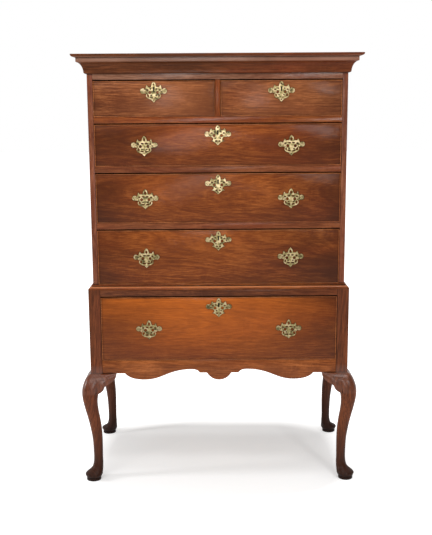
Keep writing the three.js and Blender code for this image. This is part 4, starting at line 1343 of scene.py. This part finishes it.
def drawerBox(name, frontBack):  # two dovetailed sides, a back and a bottom board
    look = drawerLook
    low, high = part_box(name + "_box")
    thick, gap = look["lining"], look["jointGap"]
    front = frontBack + look["joint"]
    frontTails = tailEdge(low.z, high.z, frontBack - look["tailReach"], -(look["tailReach"] + look["joint"]))
    backTop, bottomTop = high.z - look["backDrop"], low.z + look["bottom"]
    backTails = tailEdge(bottomTop, backTop, high.y, thick)
    shoulder = high.y - thick
    outline = [(shoulder, low.z), (high.y, low.z), (high.y, bottomTop - gap), (shoulder, bottomTop - gap)]
    outline += sum(backTails, []) + [(shoulder, backTop + gap), (high.y, backTop + gap), (high.y, high.z)]
    outline += [(front, high.z)] + sum(frontTails, [])[::-1] + [(front, low.z)]
    pieces = {}
    for label, x in (("_side_left", low.x), ("_side_right", high.x - thick)):
        pieces[label] = plank(name + label, outline, (x, x + thick))
    back = addBox(name + "_back", (low.x, shoulder, bottomTop), (high.x, high.y, backTop))
    tools = []
    for ends in ((low.x - gap, low.x + thick + gap), (high.x - thick - gap, high.x + gap)):
        for tail in backTails:
            tools.append(plank("backTool", [(y + (gap if y > shoulder else -gap), z) for y, z in tail], ends))
    cutAway(back, joined("backTools", tools))
    pieces["_back"] = back
    inset = thick + gap
    bottom = addBox(name + "_bottom", (low.x + inset, front, low.z),
                    (high.x - inset, high.y, bottomTop - gap))
    ease(bottom, look["bottomEasing"])
    pieces["_bottom"] = bottom
    return pieces


def drawerLock(name, lock, back):  # an iron lock on the inner face of the front
    look = drawerLook["lock"]
    across, up = (part / 2 for part in look["size"])
    plateBox = addBox(name + "_lock", (lock.x - across, back, lock.z - up),
                      (lock.x + across, back + look["plate"], lock.z + up))
    ease(plateBox, look["plateEasing"])
    width, height, deep = look["case"]
    case = addBox("lockCase", (lock.x - width / 2, back + look["caseFoot"], lock.z - height / 2),
                  (lock.x + width / 2, back + deep, lock.z + height / 2))
    ease(case, look["caseEasing"])
    profile = [(radius * mm, back + out * mm) for radius, out in look["pin"]]
    pins = [turned("lockPin", lock.x + sideX * (across - look["pinInset"]),
                   lock.z + sideZ * (up - look["pinInset"]), profile, look["pinSides"])
            for sideX in (-1, 1) for sideZ in (-1, 1)]
    return joined(name + "_lock", [case] + pins + [plateBox])


def addDrawers():
    brass = brassMaterial()
    iron = ironMaterial()
    handlePlate = plate("handlePlatePattern", False)
    posts = [turnedPost("postPattern", -1), turnedPost("postPattern", 1)]
    lockPlate = plate("lockPlatePattern", True)
    bail = bailPattern()
    for piece in [handlePlate, lockPlate] + posts:
        smooth(piece, "casting")
    for name, worn in drawerLook["worn"].items():
        low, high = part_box(name + "_front")
        low = low + Vector((0, drawerLook["beadProud"], 0))
        high = high - Vector((0, 0, drawerLook["sag"]))
        places = {}
        for label in ("_plate", "_plate_left", "_plate_right", "_escutcheon"):
            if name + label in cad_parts:
                corner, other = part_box(name + label)
                places[label] = Vector(((corner.x + other.x) / 2, low.y - carcase["jointGap"],
                                        (corner.z + other.z) / 2))
        lock = places.get("_escutcheon") or places["_plate"]
        drills = [(place.x + side * handleLook["spacing"] / 2, place.z + handleLook["rise"])
                  for label, place in places.items() if label != "_escutcheon" for side in (-1, 1)]
        front = drawerFront(name, low, high, lock, drills)
        wood = oak(name + "Oak", worn["heart"], tilt=drawerLook["tilt"], face=low.y,
                   worn={**worn, "low": low, "high": high}, **worn.get("look", {}))
        dress(front, wood, name, "oak_front", name + "_front")
        strip = oak(name + "BeadOak", worn["heart"], tilt=drawerLook["tilt"], **drawerLook["beadOak"])
        dress(beadFrame(name + "_bead", low, high), strip, name, "oak_front")
        lining = {}
        for grain in ("X", "Y"):
            lining[grain] = oak(name + "Lining" + grain, worn["heart"], grain, drawerLook["liningTilt"],
                                **rawOak)
        for label, piece in drawerBox(name, high.y).items():
            nodes = [name + "_box"] if label == "_bottom" else []
            dress(piece, lining["Y" if "side" in label else "X"], name, "oak_lining", *nodes)
        dress(drawerLock(name, lock, high.y), iron, name, "brass")
        for label, place in places.items():
            hasBail = label != "_escutcheon"
            keyed = label in ("_plate", "_escutcheon")
            parts = [copyOf(lockPlate if keyed else handlePlate, "platePart", place)]
            if hasBail:
                parts += [copyOf(post, "postPart", place) for post in posts]
            dress(joined(name + label + "_cast", parts), brass, name, "brass", name + label)
            if hasBail:
                pivot = place + Vector((0, -plateLook["thickness"] - handleLook["reach"], handleLook["rise"]))
                node = name + label.replace("_plate", "_bail")
                swung = copyOf(bail, node + "_cast", pivot)
                dress(swung, brass, node.replace("_bail", "_handle"), "brass", node)
        print(name, "made")
    for piece in [handlePlate, lockPlate, bail] + posts:
        bpy.data.objects.remove(piece)


addDrawers()


print("scene finished")
